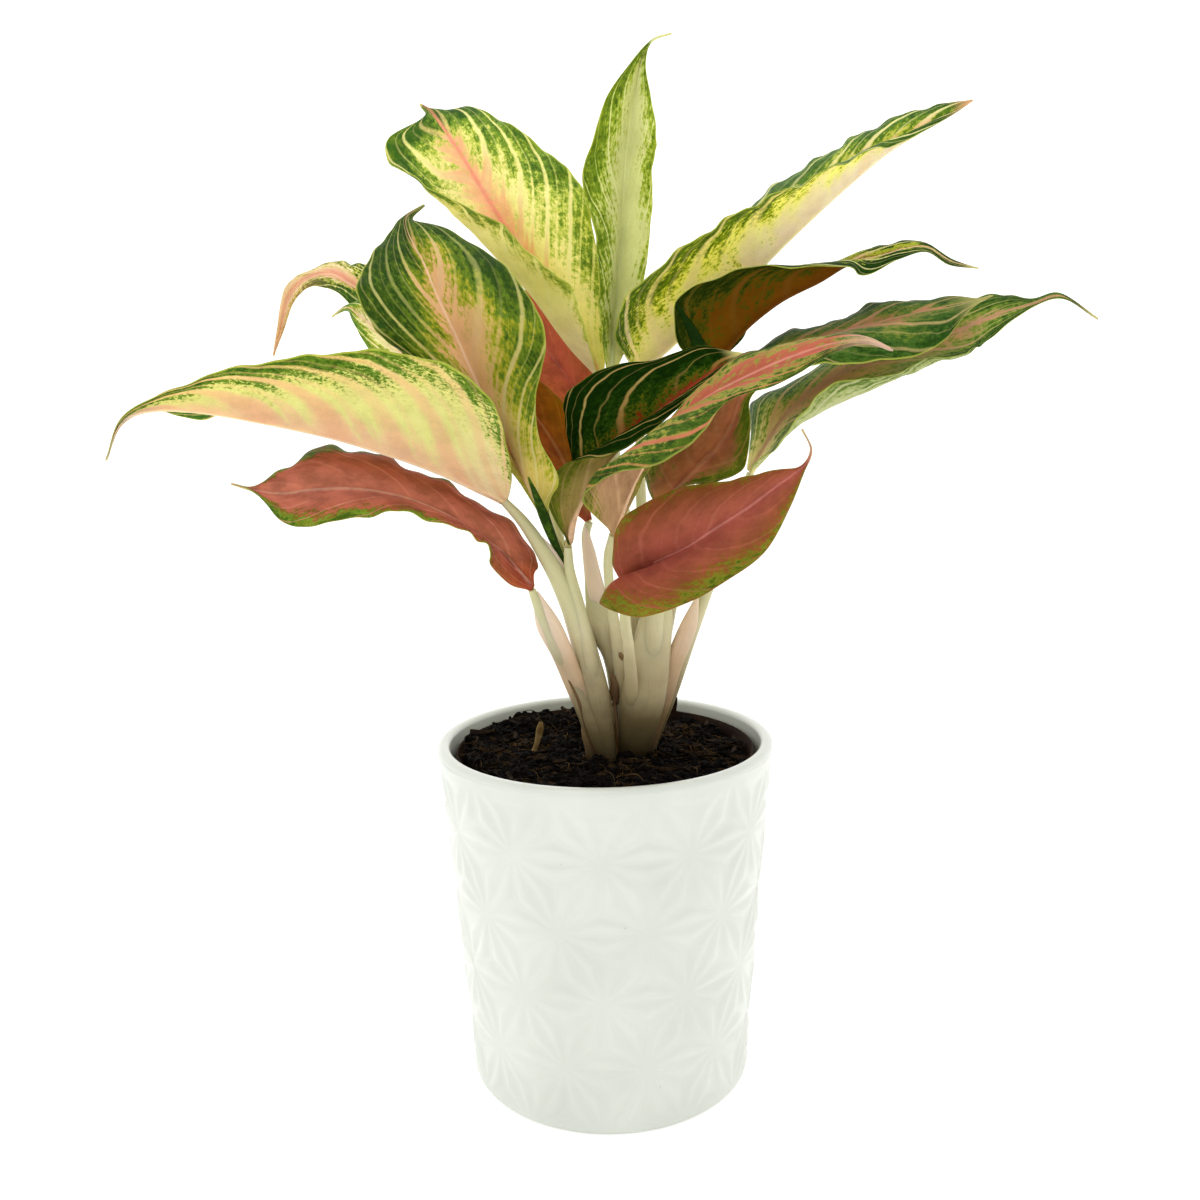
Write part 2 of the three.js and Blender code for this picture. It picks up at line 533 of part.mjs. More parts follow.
const blades = {
  blade_left_long: {
    rib: [
      [504, 501, -25], [484, 495, -30], [440, 478, -37], [392, 462, -42], [330, 443, -46],
      [262, 427, -48], [198, 414, -50], [148, 412, -52], [121, 426, -53], [106, 460, -54],
    ],
    left: [
      [509, 497, -26], [511, 471, -36], [498, 414, -48], [461, 372, -54], [385, 351, -56],
      [300, 357, -56], [222, 371, -54], [160, 395, -53], [121, 418, -53], [106, 459, -54],
    ],
    right: [
      [508, 499, -22], [500, 470, -10], [462, 430, -2], [420, 405, -2], [355, 395, -6], [283, 392, -16],
      [205, 418, -28], [152, 411, -42], [122, 422, -50], [107, 461, -53],
    ],
    cup: [5, 5],
    colour: '#d8c98a',
  },
  blade_left_broad: {
    rib: [
      [562, 553, -13], [552, 533, -15.5], [543, 511, -18], [526, 480, -21], [502, 431, -21],
      [480, 388, -21], [457, 337, -19], [438, 298, -15], [424, 265, -9], [409, 236, -1], [407, 217, 4],
      [424, 205, 8],
    ],
    left: [
      [558, 553, -13], [546, 528, -18], [530, 499, -23], [508, 468, -26], [460, 415, -24],
      [404, 357, -22], [370, 322, -20], [357, 285, -16], [372, 256, -10], [392, 229, -2], [403, 217, 4],
      [423, 205, 8],
    ],
    right: [
      [565, 550, -12], [554, 529, -16], [549, 505, -34], [559, 478, -47], [540, 440, -35],
      [536, 395, -28], [546, 342, -28], [528, 294, -24], [488, 253, -14], [440, 227, -4], [413, 220, 4],
      [425, 206, 8],
    ],
    cup: [5, 5],
    colour: '#9db04a',
  },
  blade_upper_left: {
    rib: [
      [600, 377, 6], [584, 350, 12], [556, 306, 18], [530, 264, 24], [508, 229, 30], [485, 191, 36],
      [464, 156, 42], [446, 130, 48], [434, 114, 52], [428, 109, 54], [420, 104, 57],
    ],
    left: [
      [597, 373, 4], [585, 330, -8], [570, 287, -12], [533, 257, -8], [503, 225, 4], [468, 208, 18],
      [418, 180, 30], [389, 161, 37], [389, 138, 44], [424, 118, 53], [420, 106, 57],
    ],
    leftFold: [
      [594, 374, 8], [566, 343, 6], [533, 297, 10], [500, 262, 16], [473, 234, 24], [447, 207, 30],
      [432, 184, 38], [416, 151, 44], [412, 131, 48], [427, 113, 53.5], [420, 105, 57],
    ],
    right: [
      [604, 374, 7], [606, 340, 9], [602, 285, 12], [594, 235, 15], [582, 187, 20], [552, 156, 28],
      [512, 126, 36], [477, 109, 46], [448, 110, 54], [431, 109, 55], [421, 104, 57],
    ],
    cup: [3, 5],
    colour: '#b9c45a',
  },
  blade_top: {
    rib: [
      [610, 377, 1], [611, 340, 9], [615, 285, 16], [620, 225, 19], [626, 165, 18], [631, 120, 15],
      [637, 85, 12], [642, 58, 9], [652, 41, 4], [671, 33, 0],
    ],
    left: [
      [607, 374, 0], [603, 345, -1], [599, 300, -2], [596, 240, 0], [582, 180, 3], [592, 143, 4],
      [606, 98, 4], [631, 62, 6], [651, 40, 4], [671, 33, 0],
    ],
    right: [
      [614, 375, 2], [630, 338, 9], [643, 286, 10], [651, 222, 8], [653, 163, 3], [657, 136, 0],
      [650, 95, 2], [646, 60, 6], [653, 41, 4], [672, 34, 0],
    ],
    cup: [4, 4],
    colour: '#c6cf8a',
  },
  blade_upper_right: {
    rib: [
      [640, 373, 14], [668, 352, 16], [705, 322, 18], [745, 290, 20], [792, 243, 22], [842, 195, 24],
      [887, 156, 26], [928, 129, 28], [953, 112, 30], [972, 100, 32],
    ],
    left: [
      [636, 371, 16], [650, 325, 34], [680, 270, 42], [722, 232, 46], [772, 188, 46], [828, 153, 42],
      [870, 129, 38], [920, 109, 34], [950, 103, 32], [972, 100, 32],
    ],
    right: [
      [637, 375, 12], [616, 335, -3], [629, 295, -9], [683, 248, -10], [745, 209, -4], [806, 181, 2],
      [862, 154, 12], [905, 141, 22], [946, 119, 28], [973, 101, 32],
    ],
    cup: [5, 5],
    colour: '#d9cf86',
  },
  blade_right_twisted: {
    rib: [
      [713, 366, 2], [727, 353, 6], [752, 328, 8], [785, 302, 9], [820, 283, 9], [848, 265, 8],
      [878, 258, 8], [905, 250, 8], [927, 248, 8], [951, 262, 8], [978, 268, 8],
    ],
    left: [
      [716, 364, 4], [745, 335, 26], [755, 300, 30], [785, 280, 28], [822, 268, 24], [855, 256, 20],
      [880, 246, 16], [904, 241, 12], [928, 244, 9], [952, 259, 8], [978, 268, 8],
    ],
    right: [
      [709, 364, 2], [679, 345, -12], [678, 300, -16], [730, 272, -16], [790, 266, -10], [846, 268, -6],
      [867, 275, -2], [898, 260, 2], [926, 252, 6], [949, 265, 7], [979, 269, 8],
    ],
    cup: [4, 5],
    colour: '#6a5a24',
  },
  blade_right_dark: {
    rib: [
      [733, 378, -2], [757, 366, 0], [793, 351, 2], [832, 336, 4], [868, 326, 6], [905, 317, 8],
      [938, 309, 10], [965, 303, 11], [980, 300, 11], [992, 295, 11],
    ],
    left: [
      [737, 375, 0], [755, 353, 18], [790, 331, 24], [822, 327, 26], [850, 315, 26], [882, 301, 26],
      [915, 303, 24], [946, 296, 20], [975, 299, 14], [992, 295, 11],
    ],
    right: [
      [730, 380, -4], [765, 374, -16], [800, 366, -18], [836, 364, -18], [880, 361, -14],
      [921, 354, -8], [948, 337, -2], [964, 316, 4], [978, 304, 8], [993, 296, 11],
    ],
    cup: [3, 5],
    colour: '#4a5a2c',
  },
  blade_right_low: {
    rib: [
      [750, 472, 6], [766, 446, 10], [785, 418, 14], [808, 395, 17], [838, 374, 20], [878, 358, 22],
      [918, 346, 24], [957, 331, 25], [998, 314, 26], [1032, 304, 26], [1062, 296, 26], [1098, 319, 24],
    ],
    left: [
      [747, 470, 8], [751, 430, 28], [751, 402, 38], [777, 392, 42], [824, 366, 44], [862, 345, 42],
      [905, 325, 38], [950, 307, 32], [1000, 294, 29], [1031, 299, 27], [1060, 293, 26],
      [1098, 318, 24],
    ],
    right: [
      [750, 473, 4], [758, 461, -6], [783, 440, -10], [805, 408, -10], [840, 381, -8], [885, 377, -2],
      [925, 360, 4], [966, 353, 12], [992, 337, 20], [1031, 308, 25], [1063, 299, 26], [1098, 320, 24],
    ],
    rightFold: [
      [751, 474, 5], [768, 456, 0], [788, 432, 0], [815, 415, 2], [857, 396, 4], [905, 374, 8],
      [937, 361, 12], [970, 349, 17], [995, 326, 23], [1032, 306, 26], [1063, 298, 26], [1098, 320, 24],
    ],
    cup: [4, 4],
    colour: '#6d7a45',
  },
  blade_centre_dark: {
    rib: [
      [568, 547, -22], [577, 515, -27], [600, 478, -32], [632, 441, -38], [662, 413, -42],
      [690, 390, -44], [717, 370, -46], [735, 359, -48], [743, 353, -50],
    ],
    left: [
      [564, 545, -22], [592, 458, -10], [568, 428, -14], [566, 397, -20], [598, 371, -26],
      [652, 360, -30], [695, 347, -36], [728, 351, -43], [742, 353, -50],
    ],
    right: [
      [570, 545, -24], [547, 500, -32], [563, 465, -44], [606, 456, -60], [648, 434, -56],
      [680, 407, -48], [716, 382, -51], [736, 362, -50], [744, 354, -50],
    ],
    cup: [6, 5],
    colour: '#20300c',
  },
  blade_centre_rolled: {
    rib: [
      [613, 535, -32], [626, 503, -42], [646, 463, -54], [672, 430, -66], [704, 402, -76],
      [743, 380, -85], [790, 358, -92], [835, 344, -97], [867, 341, -100], [893, 350, -102],
    ],
    left: [
      [616, 533, -31], [638, 490, -32], [660, 450, -38], [689, 405, -56], [712, 379, -64],
      [745, 354, -72], [797, 343, -82], [838, 335, -90], [867, 338, -97], [892, 349, -102],
    ],
    right: [
      [610, 531, -35], [583, 499, -64], [615, 474, -82], [662, 463, -92], [703, 432, -98],
      [728, 401, -95], [787, 380, -98], [830, 354, -100], [865.5, 344, -102], [893, 351, -102],
    ],
    rightFold: [
      [611, 533, -34], [604, 475, -60], [620, 457, -74], [655, 430, -82], [692, 410, -90],
      [733, 393, -93], [785, 374, -97], [832, 350, -100], [866, 343, -102], [893, 351, -102],
    ],
    cup: [5, 3],
    colour: '#b07a55',
  },
  blade_centre_brown: {
    rib: [
      [661, 510, -20], [678, 490, -27], [700, 467, -38], [721, 446, -46], [735, 422, -52],
      [741, 401, -57], [757, 386, -60], [778, 375, -62],
    ],
    left: [
      [665, 508, -20], [683, 487, -30], [716, 482, -42], [744, 468, -52], [750, 432, -58],
      [749, 404, -60], [759, 388, -60], [778, 376, -62],
    ],
    right: [
      [657, 508, -20], [645, 478, -12], [652, 440, -13], [682, 415, -24], [710, 398, -36],
      [732, 388, -50], [754, 382, -59], [777, 374, -62],
    ],
    cup: [-3, -4],
    colour: '#7a4a24',
  },
  blade_front_coral: {
    rib: [
      [628, 590, -44], [644, 574, -54], [667, 560, -64], [692, 547, -74], [720, 528, -84],
      [750, 508, -93], [780, 485, -101], [803, 467, -108], [811, 450, -112], [802, 429, -113],
    ],
    left: [
      [631, 592, -44], [600, 603, -68], [637, 617, -80], [683, 605, -88], [728, 580, -95],
      [765, 552, -100], [789, 510, -104], [804, 473, -108], [812, 450, -112], [802, 429, -113],
    ],
    right: [
      [625, 588, -44], [613, 562, -50], [618, 526, -58], [648, 501, -67], [695, 485, -78],
      [740, 479, -89], [772, 470, -99], [799, 467, -107], [810, 450, -112], [801, 429, -113],
    ],
    cup: [-5, -5],
    colour: '#a34e3a',
  },
  blade_left_coral: {
    rib: [
      [532, 590, -22], [519, 574, -23], [502, 555, -27], [480, 540, -31], [448, 519, -34],
      [405, 501, -38], [358, 492, -42], [315, 492, -46], [280, 495, -50], [249, 490, -52],
      [231, 484, -54],
    ],
    left: [
      [534, 588, -22], [534, 572, -17], [537, 556, -14], [512, 526, -15], [466, 494, -16],
      [415, 470, -14], [365, 452, -16], [322, 448, -22], [287, 466, -37], [256, 486, -50],
      [231, 483, -54],
    ],
    right: [
      [529, 590, -23], [509, 584, -30], [489, 561, -40], [487, 544, -42], [461, 531, -44],
      [408, 513, -50], [360, 517, -54], [312, 526, -56], [285, 523, -56], [256, 494, -53.5],
      [232, 485, -54],
    ],
    cup: [-4, -4],
    colour: '#a34e3a',
  },
  blade_back_drooping: {
    rib: [
      [455, 378, 57], [430, 350, 62], [400, 322, 70], [374, 303, 78], [350, 285, 84], [329, 275, 90],
      [304, 281, 95], [288, 300, 97], [281, 329, 98], [274, 356, 98],
    ],
    left: [
      [452, 380, 56], [412, 368, 54], [382, 345, 62], [362, 322, 70], [342, 296, 78], [322, 287, 85],
      [306, 289, 92], [293, 304, 96], [284, 330, 97], [274, 355, 97],
    ],
    right: [
      [458, 376, 58], [440, 325, 74], [412, 292, 84], [386, 272, 90], [357, 264, 92], [337, 262, 95],
      [300, 274, 97], [283, 294, 98], [277, 330, 98], [273, 355, 98],
    ],
    cup: [5, 5],
    colour: '#d9a98a',
  },
  blade_back_pale: {
    rib: [
      [480, 425, 27], [448, 398, 32], [418, 368, 40], [388, 340, 49], [362, 319, 56], [347, 308, 59],
      [332, 317, 61],
    ],
    left: [
      [477, 427, 26], [437, 418, 26], [398, 385, 34], [370, 351, 44], [353, 322, 53], [347, 311, 58],
      [332, 317, 61],
    ],
    right: [
      [483, 423, 28], [462, 372, 42], [436, 335, 52], [402, 312, 58], [371, 300, 62], [349, 304, 61],
      [332, 316, 61],
    ],
    cup: [4, 4],
    colour: '#dcd6a0',
  },
  blade_back_red: {
    rib: [
      [602, 455, 22], [588, 415, 34], [560, 367, 48], [530, 333, 62], [500, 310, 74], [468, 293, 83],
      [440, 285, 90],
    ],
    left: [
      [606, 452, 22], [604, 390, 32], [585, 330, 46], [553, 298, 58], [510, 288, 70], [474, 283, 82],
      [440, 285, 90],
    ],
    right: [
      [599, 457, 22], [566, 408, 34], [536, 385, 45], [502, 358, 56], [470, 330, 68], [448, 305, 78],
      [439, 286, 90],
    ],
    cup: [-4, -4],
    colour: '#98301c',
  },
  blade_back_orange: {
    rib: [
      [589, 522, -2], [572, 482, 8], [553, 445, 18], [532, 412, 28], [508, 380, 37], [482, 354, 45],
      [450, 332, 54],
    ],
    left: [
      [592, 520, -2], [580, 470, 14], [578, 440, 22], [564, 405, 25], [532, 374, 32], [498, 352, 42],
      [450, 332, 54],
    ],
    right: [
      [586, 522, -2], [545, 490, 2], [515, 455, 10], [488, 420, 20], [462, 385, 30], [450, 355, 40],
      [450, 334, 54],
    ],
    cup: [-4, -4],
    colour: '#8f4812',
  },
};

const plant = new THREE.Group();
plant.name = 'potted_chinese_evergreen';
plant.add(coverPot(), growPot(), pottingSoil());
for (const [name, shape] of Object.entries(clumps)) {
  plant.add(clump(name, shape));
}
for (const [name, shape] of Object.entries(blades)) {
  plant.add(blade(name, shape));
}

export default plant;
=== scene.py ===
import math

import bmesh
import bpy
import numpy as np
from mathutils import Matrix, Vector, noise


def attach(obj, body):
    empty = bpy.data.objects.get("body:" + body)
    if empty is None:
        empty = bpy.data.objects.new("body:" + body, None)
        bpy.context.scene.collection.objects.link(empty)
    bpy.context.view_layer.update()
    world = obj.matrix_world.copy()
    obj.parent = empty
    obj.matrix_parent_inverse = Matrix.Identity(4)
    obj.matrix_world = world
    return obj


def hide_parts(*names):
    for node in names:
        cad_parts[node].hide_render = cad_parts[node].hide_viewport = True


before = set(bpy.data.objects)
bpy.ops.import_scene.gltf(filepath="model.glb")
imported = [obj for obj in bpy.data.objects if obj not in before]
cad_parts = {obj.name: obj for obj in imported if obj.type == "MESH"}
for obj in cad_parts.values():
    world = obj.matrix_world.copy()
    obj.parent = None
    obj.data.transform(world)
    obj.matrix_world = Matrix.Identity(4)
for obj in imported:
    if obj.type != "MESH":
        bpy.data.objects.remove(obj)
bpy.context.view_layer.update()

# A Chinese evergreen in a dark nursery pot, stood inside a white glazed cover pot.
# Shapes are worked out in millimetres, with -Y as the front, and turned to metres as each mesh is made.

scene = bpy.context.scene
mm = 0.001


def fromHex(text):  # sRGB hex to the linear colour that the shaders take
    shares = [int(text[i:i + 2], 16) / 255 for i in (1, 3, 5)]
    return [s / 12.92 if s <= 0.04045 else ((s + 0.055) / 1.055) ** 2.4 for s in shares] + [1.0]


# Adds a node. A value goes to the setting or the input of that name or number: a hex text as a colour,
# another node as a link from its first output. Stops are the colours along a ramp.
def addNode(tree, kind, values=None, stops=()):
    node = tree.nodes.new(kind)
    for name, value in (values or {}).items():
        if isinstance(value, str) and value.startswith("#"):
            value = fromHex(value)
        elif isinstance(value, bpy.types.Node):
            value = value.outputs[0]
        if isinstance(value, bpy.types.NodeSocket):
            tree.links.new(value, node.inputs[name])
        elif isinstance(name, str) and hasattr(node, name):
            setattr(node, name, value)
        else:
            node.inputs[name].default_value = value
    for k, (position, colour) in enumerate(stops):
        ramp = node.color_ramp.elements
        stop = ramp[k] if k < 2 else ramp.new(position)
        stop.position = position
        stop.color = fromHex(colour)
    return node


def newMaterial(name):
    material = bpy.data.materials.new(name)
    material.use_nodes = True
    material.node_tree.nodes.clear()
    return material, material.node_tree


# Ends a material's tree: the height makes its face uneven, and the finish says how it shines
def finishTree(tree, colour, height, strength, distance, finish):
    bump = addNode(tree, "ShaderNodeBump", {"Strength": strength, "Distance": distance, "Height": height})
    shader = addNode(tree, "ShaderNodeBsdfPrincipled", {**finish, "Base Color": colour, "Normal": bump})
    addNode(tree, "ShaderNodeOutputMaterial", {"Surface": shader})


def newObject(name, mesh):
    thing = bpy.data.objects.new(name, mesh)
    scene.collection.objects.link(thing)
    return thing


def meshOf(name, build):  # a plain mesh from a bmesh, which it frees
    mesh = bpy.data.meshes.new(name)
    build.to_mesh(mesh)
    build.free()
    return mesh


def evaluatedMesh(thing, modifier):  # the mesh that a modifier gives, and the modifier is gone after
    mesh = bpy.data.meshes.new_from_object(thing.evaluated_get(bpy.context.evaluated_depsgraph_get()))
    thing.modifiers.remove(modifier)
    return mesh


# Makes an object at the origin from points in mm, with smooth faces and an edge where it turns sharply
def newPiece(name, points, faces, materials, skins=None, sharp=50):
    mesh = bpy.data.meshes.new(name)
    mesh.from_pydata((np.asarray(points, float) * mm).tolist(), [], faces)
    for material in materials:
        mesh.materials.append(material)
    if skins is not None:
        mesh.polygons.foreach_set("material_index", skins)
    mesh.polygons.foreach_set("use_smooth", [True] * len(mesh.polygons))
    mesh.set_sharp_from_angle(angle=math.radians(sharp))
    mesh.update()
    return newObject(name, mesh)


def shifted(faces, count):  # the same faces, further on in a longer list of points
    return [tuple(i + count for i in face) for face in faces]


def paintUv(piece, name, corners):  # corners holds one (u, v) for each vertex
    mesh = piece.data
    layer = mesh.uv_layers.new(name=name)
    order = np.zeros(len(mesh.loops), int)
    mesh.loops.foreach_get("vertex_index", order)
    layer.data.foreach_set("uv", np.asarray(corners, np.float32)[order].ravel())


def ringRows(rings, sides, closedEnds=True):  # quads between rings of equal size, and flat end caps
    faces = []
    for i in range(rings - 1):
        for k in range(sides):
            a, b = i * sides + k, i * sides + (k + 1) % sides
            faces.append((a, b, b + sides, a + sides))
    if closedEnds:
        faces.append(tuple(reversed(range(sides))))
        faces.append(tuple(range((rings - 1) * sides, rings * sides)))
    return faces


def turned(profile, sides):  # points and faces of a closed lathe, profile from axis to axis as (r, z)
    inner = profile[1:-1]
    angles = np.arange(sides) * 2 * math.pi / sides
    points = [(r * math.sin(a), -r * math.cos(a), z) for r, z in inner for a in angles]
    faces = ringRows(len(inner), sides, closedEnds=False)
    points += [(0.0, 0.0, profile[0][1]), (0.0, 0.0, profile[-1][1])]
    low, high, last = len(points) - 2, len(points) - 1, (len(inner) - 1) * sides
    for k in range(sides):
        faces += [(low, (k + 1) % sides, k), (high, last + k, last + (k + 1) % sides)]
    return points, faces


# The photographed view: blades and stems are placed in it as (px across, px down, mm behind the
# pot's axis) in a frame of 1200 by 1200 px, and the camera stands at the same point.
view = {
    "point": (4.2, -442.3, 273.8),
    "yaw": math.radians(-0.665),
    "pitch": math.radians(9.31),
    "roll": math.radians(-1.164),
    "focalPx": 1086.3,
    "framePx": 1200,
}
forward = np.array((math.sin(view["yaw"]) * math.cos(view["pitch"]),
                    math.cos(view["yaw"]) * math.cos(view["pitch"]),
                    -math.sin(view["pitch"])))
level = np.array((math.cos(view["yaw"]), -math.sin(view["yaw"]), 0.0))
aloft = np.cross(level, forward)
across = level * math.cos(view["roll"]) + aloft * math.sin(view["roll"])
upward = aloft * math.cos(view["roll"]) - level * math.sin(view["roll"])


def place(spots):  # points of the photographed view in mm
    spots = np.asarray(spots, float)[:, :3]
    half = view["framePx"] / 2
    rays = (forward + np.outer((spots[:, 0] - half) / view["focalPx"], across)
            + np.outer((half - spots[:, 1]) / view["focalPx"], upward))
    eye = np.array(view["point"])
    return eye + rays * ((spots[:, 2] - eye[1]) / rays[:, 1])[:, None]


def smoothLine(points, shares):  # a uniform Catmull-Rom line through the points, its ends reflected
    points = np.asarray(points, float)
    padded = np.vstack((2 * points[0] - points[1], points, 2 * points[-1] - points[-2]))
    at = np.asarray(shares) * (len(points) - 1)
    start = np.minimum(at.astype(int), len(points) - 2)
    w = (at - start)[:, None]
    p0, p1, p2, p3 = (padded[start + k] for k in range(4))
    return 0.5 * (2 * p1 + (p2 - p0) * w + (2 * p0 - 5 * p1 + 4 * p2 - p3) * w ** 2
                  + (3 * p1 - p0 - 3 * p2 + p3) * w ** 3)


def unit(vectors):
    return vectors / np.maximum(np.linalg.norm(vectors, axis=-1, keepdims=True), 1e-9)


def lengthAlong(points):
    return np.concatenate(([0], np.cumsum(np.linalg.norm(np.diff(points, axis=0), axis=1))))


def finished(piece, slot, *nodes):  # every piece rides on the one body
    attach(piece, "root")
    if nodes:
        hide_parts(*nodes)


# Cover pot: slip-cast stoneware under a satin white glaze, with the slightest green in it
coverPot = {
    "rimRadius": 70, "footRadius": 59.4, "height": 143.6, "wall": 5.3, "floor": 6,
    "footChamfer": 1.6, "lipRound": 2.4, "lipSteps": 6, "floorRound": 4, "floorCurl": 1.2,
    "innerRings": (120, 100, 80, 60, 40, 20), "footRings": (50, 35, 18),
    "starsAround": 12, "rowPitch": 28.9, "turn": math.radians(-1.7), "lowestRow": -1.4, "rows": 6,
    "rise": 1.15, "petalReach": 0.26, "steps": 4,
    "footBand": 2.2, "footFade": 5, "lipBand": 5.5, "lipFade": 7,
    "glaze": "#D5D8CF", "shade": "#CDD1C8", "pit": "#8A8C7C", "roughness": 0.28,
}


def satinGlaze(pot):
    # A satin glaze lies a little unevenly, so its colour drifts over 30 mm and its face waves over 8 mm,
    # and a few pinholes let the darker body through
    material, tree = newMaterial("satinWhiteGlaze")
    where = addNode(tree, "ShaderNodeTexCoord").outputs["Object"]
    drift = addNode(tree, "ShaderNodeTexNoise", {"Scale": 33.0, "Detail": 2.0, "Vector": where})
    shade = addNode(tree, "ShaderNodeValToRGB", {"Fac": drift}, [(0.3, pot["shade"]), (0.7, pot["glaze"])])
    wave = addNode(tree, "ShaderNodeTexNoise", {"Scale": 120.0, "Detail": 1.0, "Vector": where})
    pits = addNode(tree, "ShaderNodeTexVoronoi", {"Scale": 60.0, "Vector": where})
    pit = addNode(tree, "ShaderNodeMapRange", {"Value": pits, "From Min": 0.012, "From Max": 0.024,
                                               "To Min": 0.45, "To Max": 1.0})
    speck = addNode(tree, "ShaderNodeMix", {"data_type": "RGBA", 0: pit, 6: pot["pit"], 7: shade})
    finishTree(tree, speck.outputs[2], wave, 0.15, 0.0003,
               {"Roughness": pot["roughness"], "IOR": 1.5, "Coat Weight": 0.25, "Coat Roughness": 0.2})
    return material


def wallRadius(pot, z):  # the outer face leans outwards from foot to rim
    return pot["footRadius"] + (pot["rimRadius"] - pot["footRadius"]) * z / pot["height"]


# Stars stand at the corners of a triangular lattice. A pair of petals runs along each lattice edge
# between two stars, with a groove between the pair, and each petal is a low rounded ridge.
def starWall(pot):
    starPitch = 2 * math.pi / pot["starsAround"]
    reach = pot["petalReach"] / math.sin(math.pi / 3)
    spots, index, faces = [], {}, []

    # A corner's weights say how near it lies to each of the triangle's three stars
    def corner(corners, weights):
        turn, z = (sum(c[axis] * w for c, w in zip(corners, weights)) for axis in (0, 1))
        along, out = weights[1] + weights[2] / 2, weights[2]
        key = (round((turn % (2 * math.pi)) * 2e4) % round(2 * math.pi * 2e4), round(z * 500))
        if key not in index:
            slope = 1 - abs(2 * along - 1)
            width = reach * slope
            ridge = 0.5 - 0.5 * math.cos(2 * math.pi * out / width) if out < width else 0.0
            fade = min(max((z - pot["footBand"]) / pot["footFade"], 0), 1)
            fade *= min(max((pot["height"] - pot["lipBand"] - z) / pot["lipFade"], 0), 1)
            fade = fade * fade * (3 - 2 * fade)
            radius = wallRadius(pot, z) + pot["rise"] * (ridge * slope - 1) * fade
            index[key] = len(spots)
            spots.append((radius * math.sin(turn), -radius * math.cos(turn), z))
        return index[key]

    n = pot["steps"]
    middle = (1 / 3, 1 / 3, 1 / 3)
    start, end, groove = (1, 0, 0), (0, 1, 0), (0.5, 0.5, 0)
    crest = (0.5 - reach / 4, 0.5 - reach / 4, reach / 2)
    outer = (0.5 - reach / 2, 0.5 - reach / 2, reach)
    patches = [(start, groove, crest), (groove, end, crest), (start, crest, outer), (crest, end, outer),
               (start, outer, middle), (outer, end, middle)]

    def latticePatch(corners, patch):
        rows = []
        for i in range(n + 1):
            row = []
            for j in range(n + 1 - i):
                shares = (1 - (i + j) / n, j / n, i / n)
                row.append(corner(corners, [sum(s * p[c] for s, p in zip(shares, patch)) for c in range(3)]))
            rows.append(row)
        for i in range(n):
            for j in range(n - i):
                faces.append((rows[i][j], rows[i][j + 1], rows[i + 1][j]))
                if j < n - i - 1:
                    faces.append((rows[i][j + 1], rows[i + 1][j + 1], rows[i + 1][j]))

    for row in range(-1, pot["rows"]):
        z = pot["lowestRow"] + row * pot["rowPitch"]
        for k in range(pot["starsAround"]):
            a = pot["turn"] + (k + (row % 2) / 2) * starPitch
            low, lowNext = (a, z), (a + starPitch, z)
            high, highNext = ((a + starPitch * half, z + pot["rowPitch"]) for half in (0.5, 1.5))
            for triangle in ([low, lowNext, high], [lowNext, highNext, high]):
                for turn in range(3):
                    for patch in patches:
                        latticePatch(triangle[turn:] + triangle[:turn], patch)
    faces = [f for f in faces if len(set(f)) == 3]
    return spots, faces


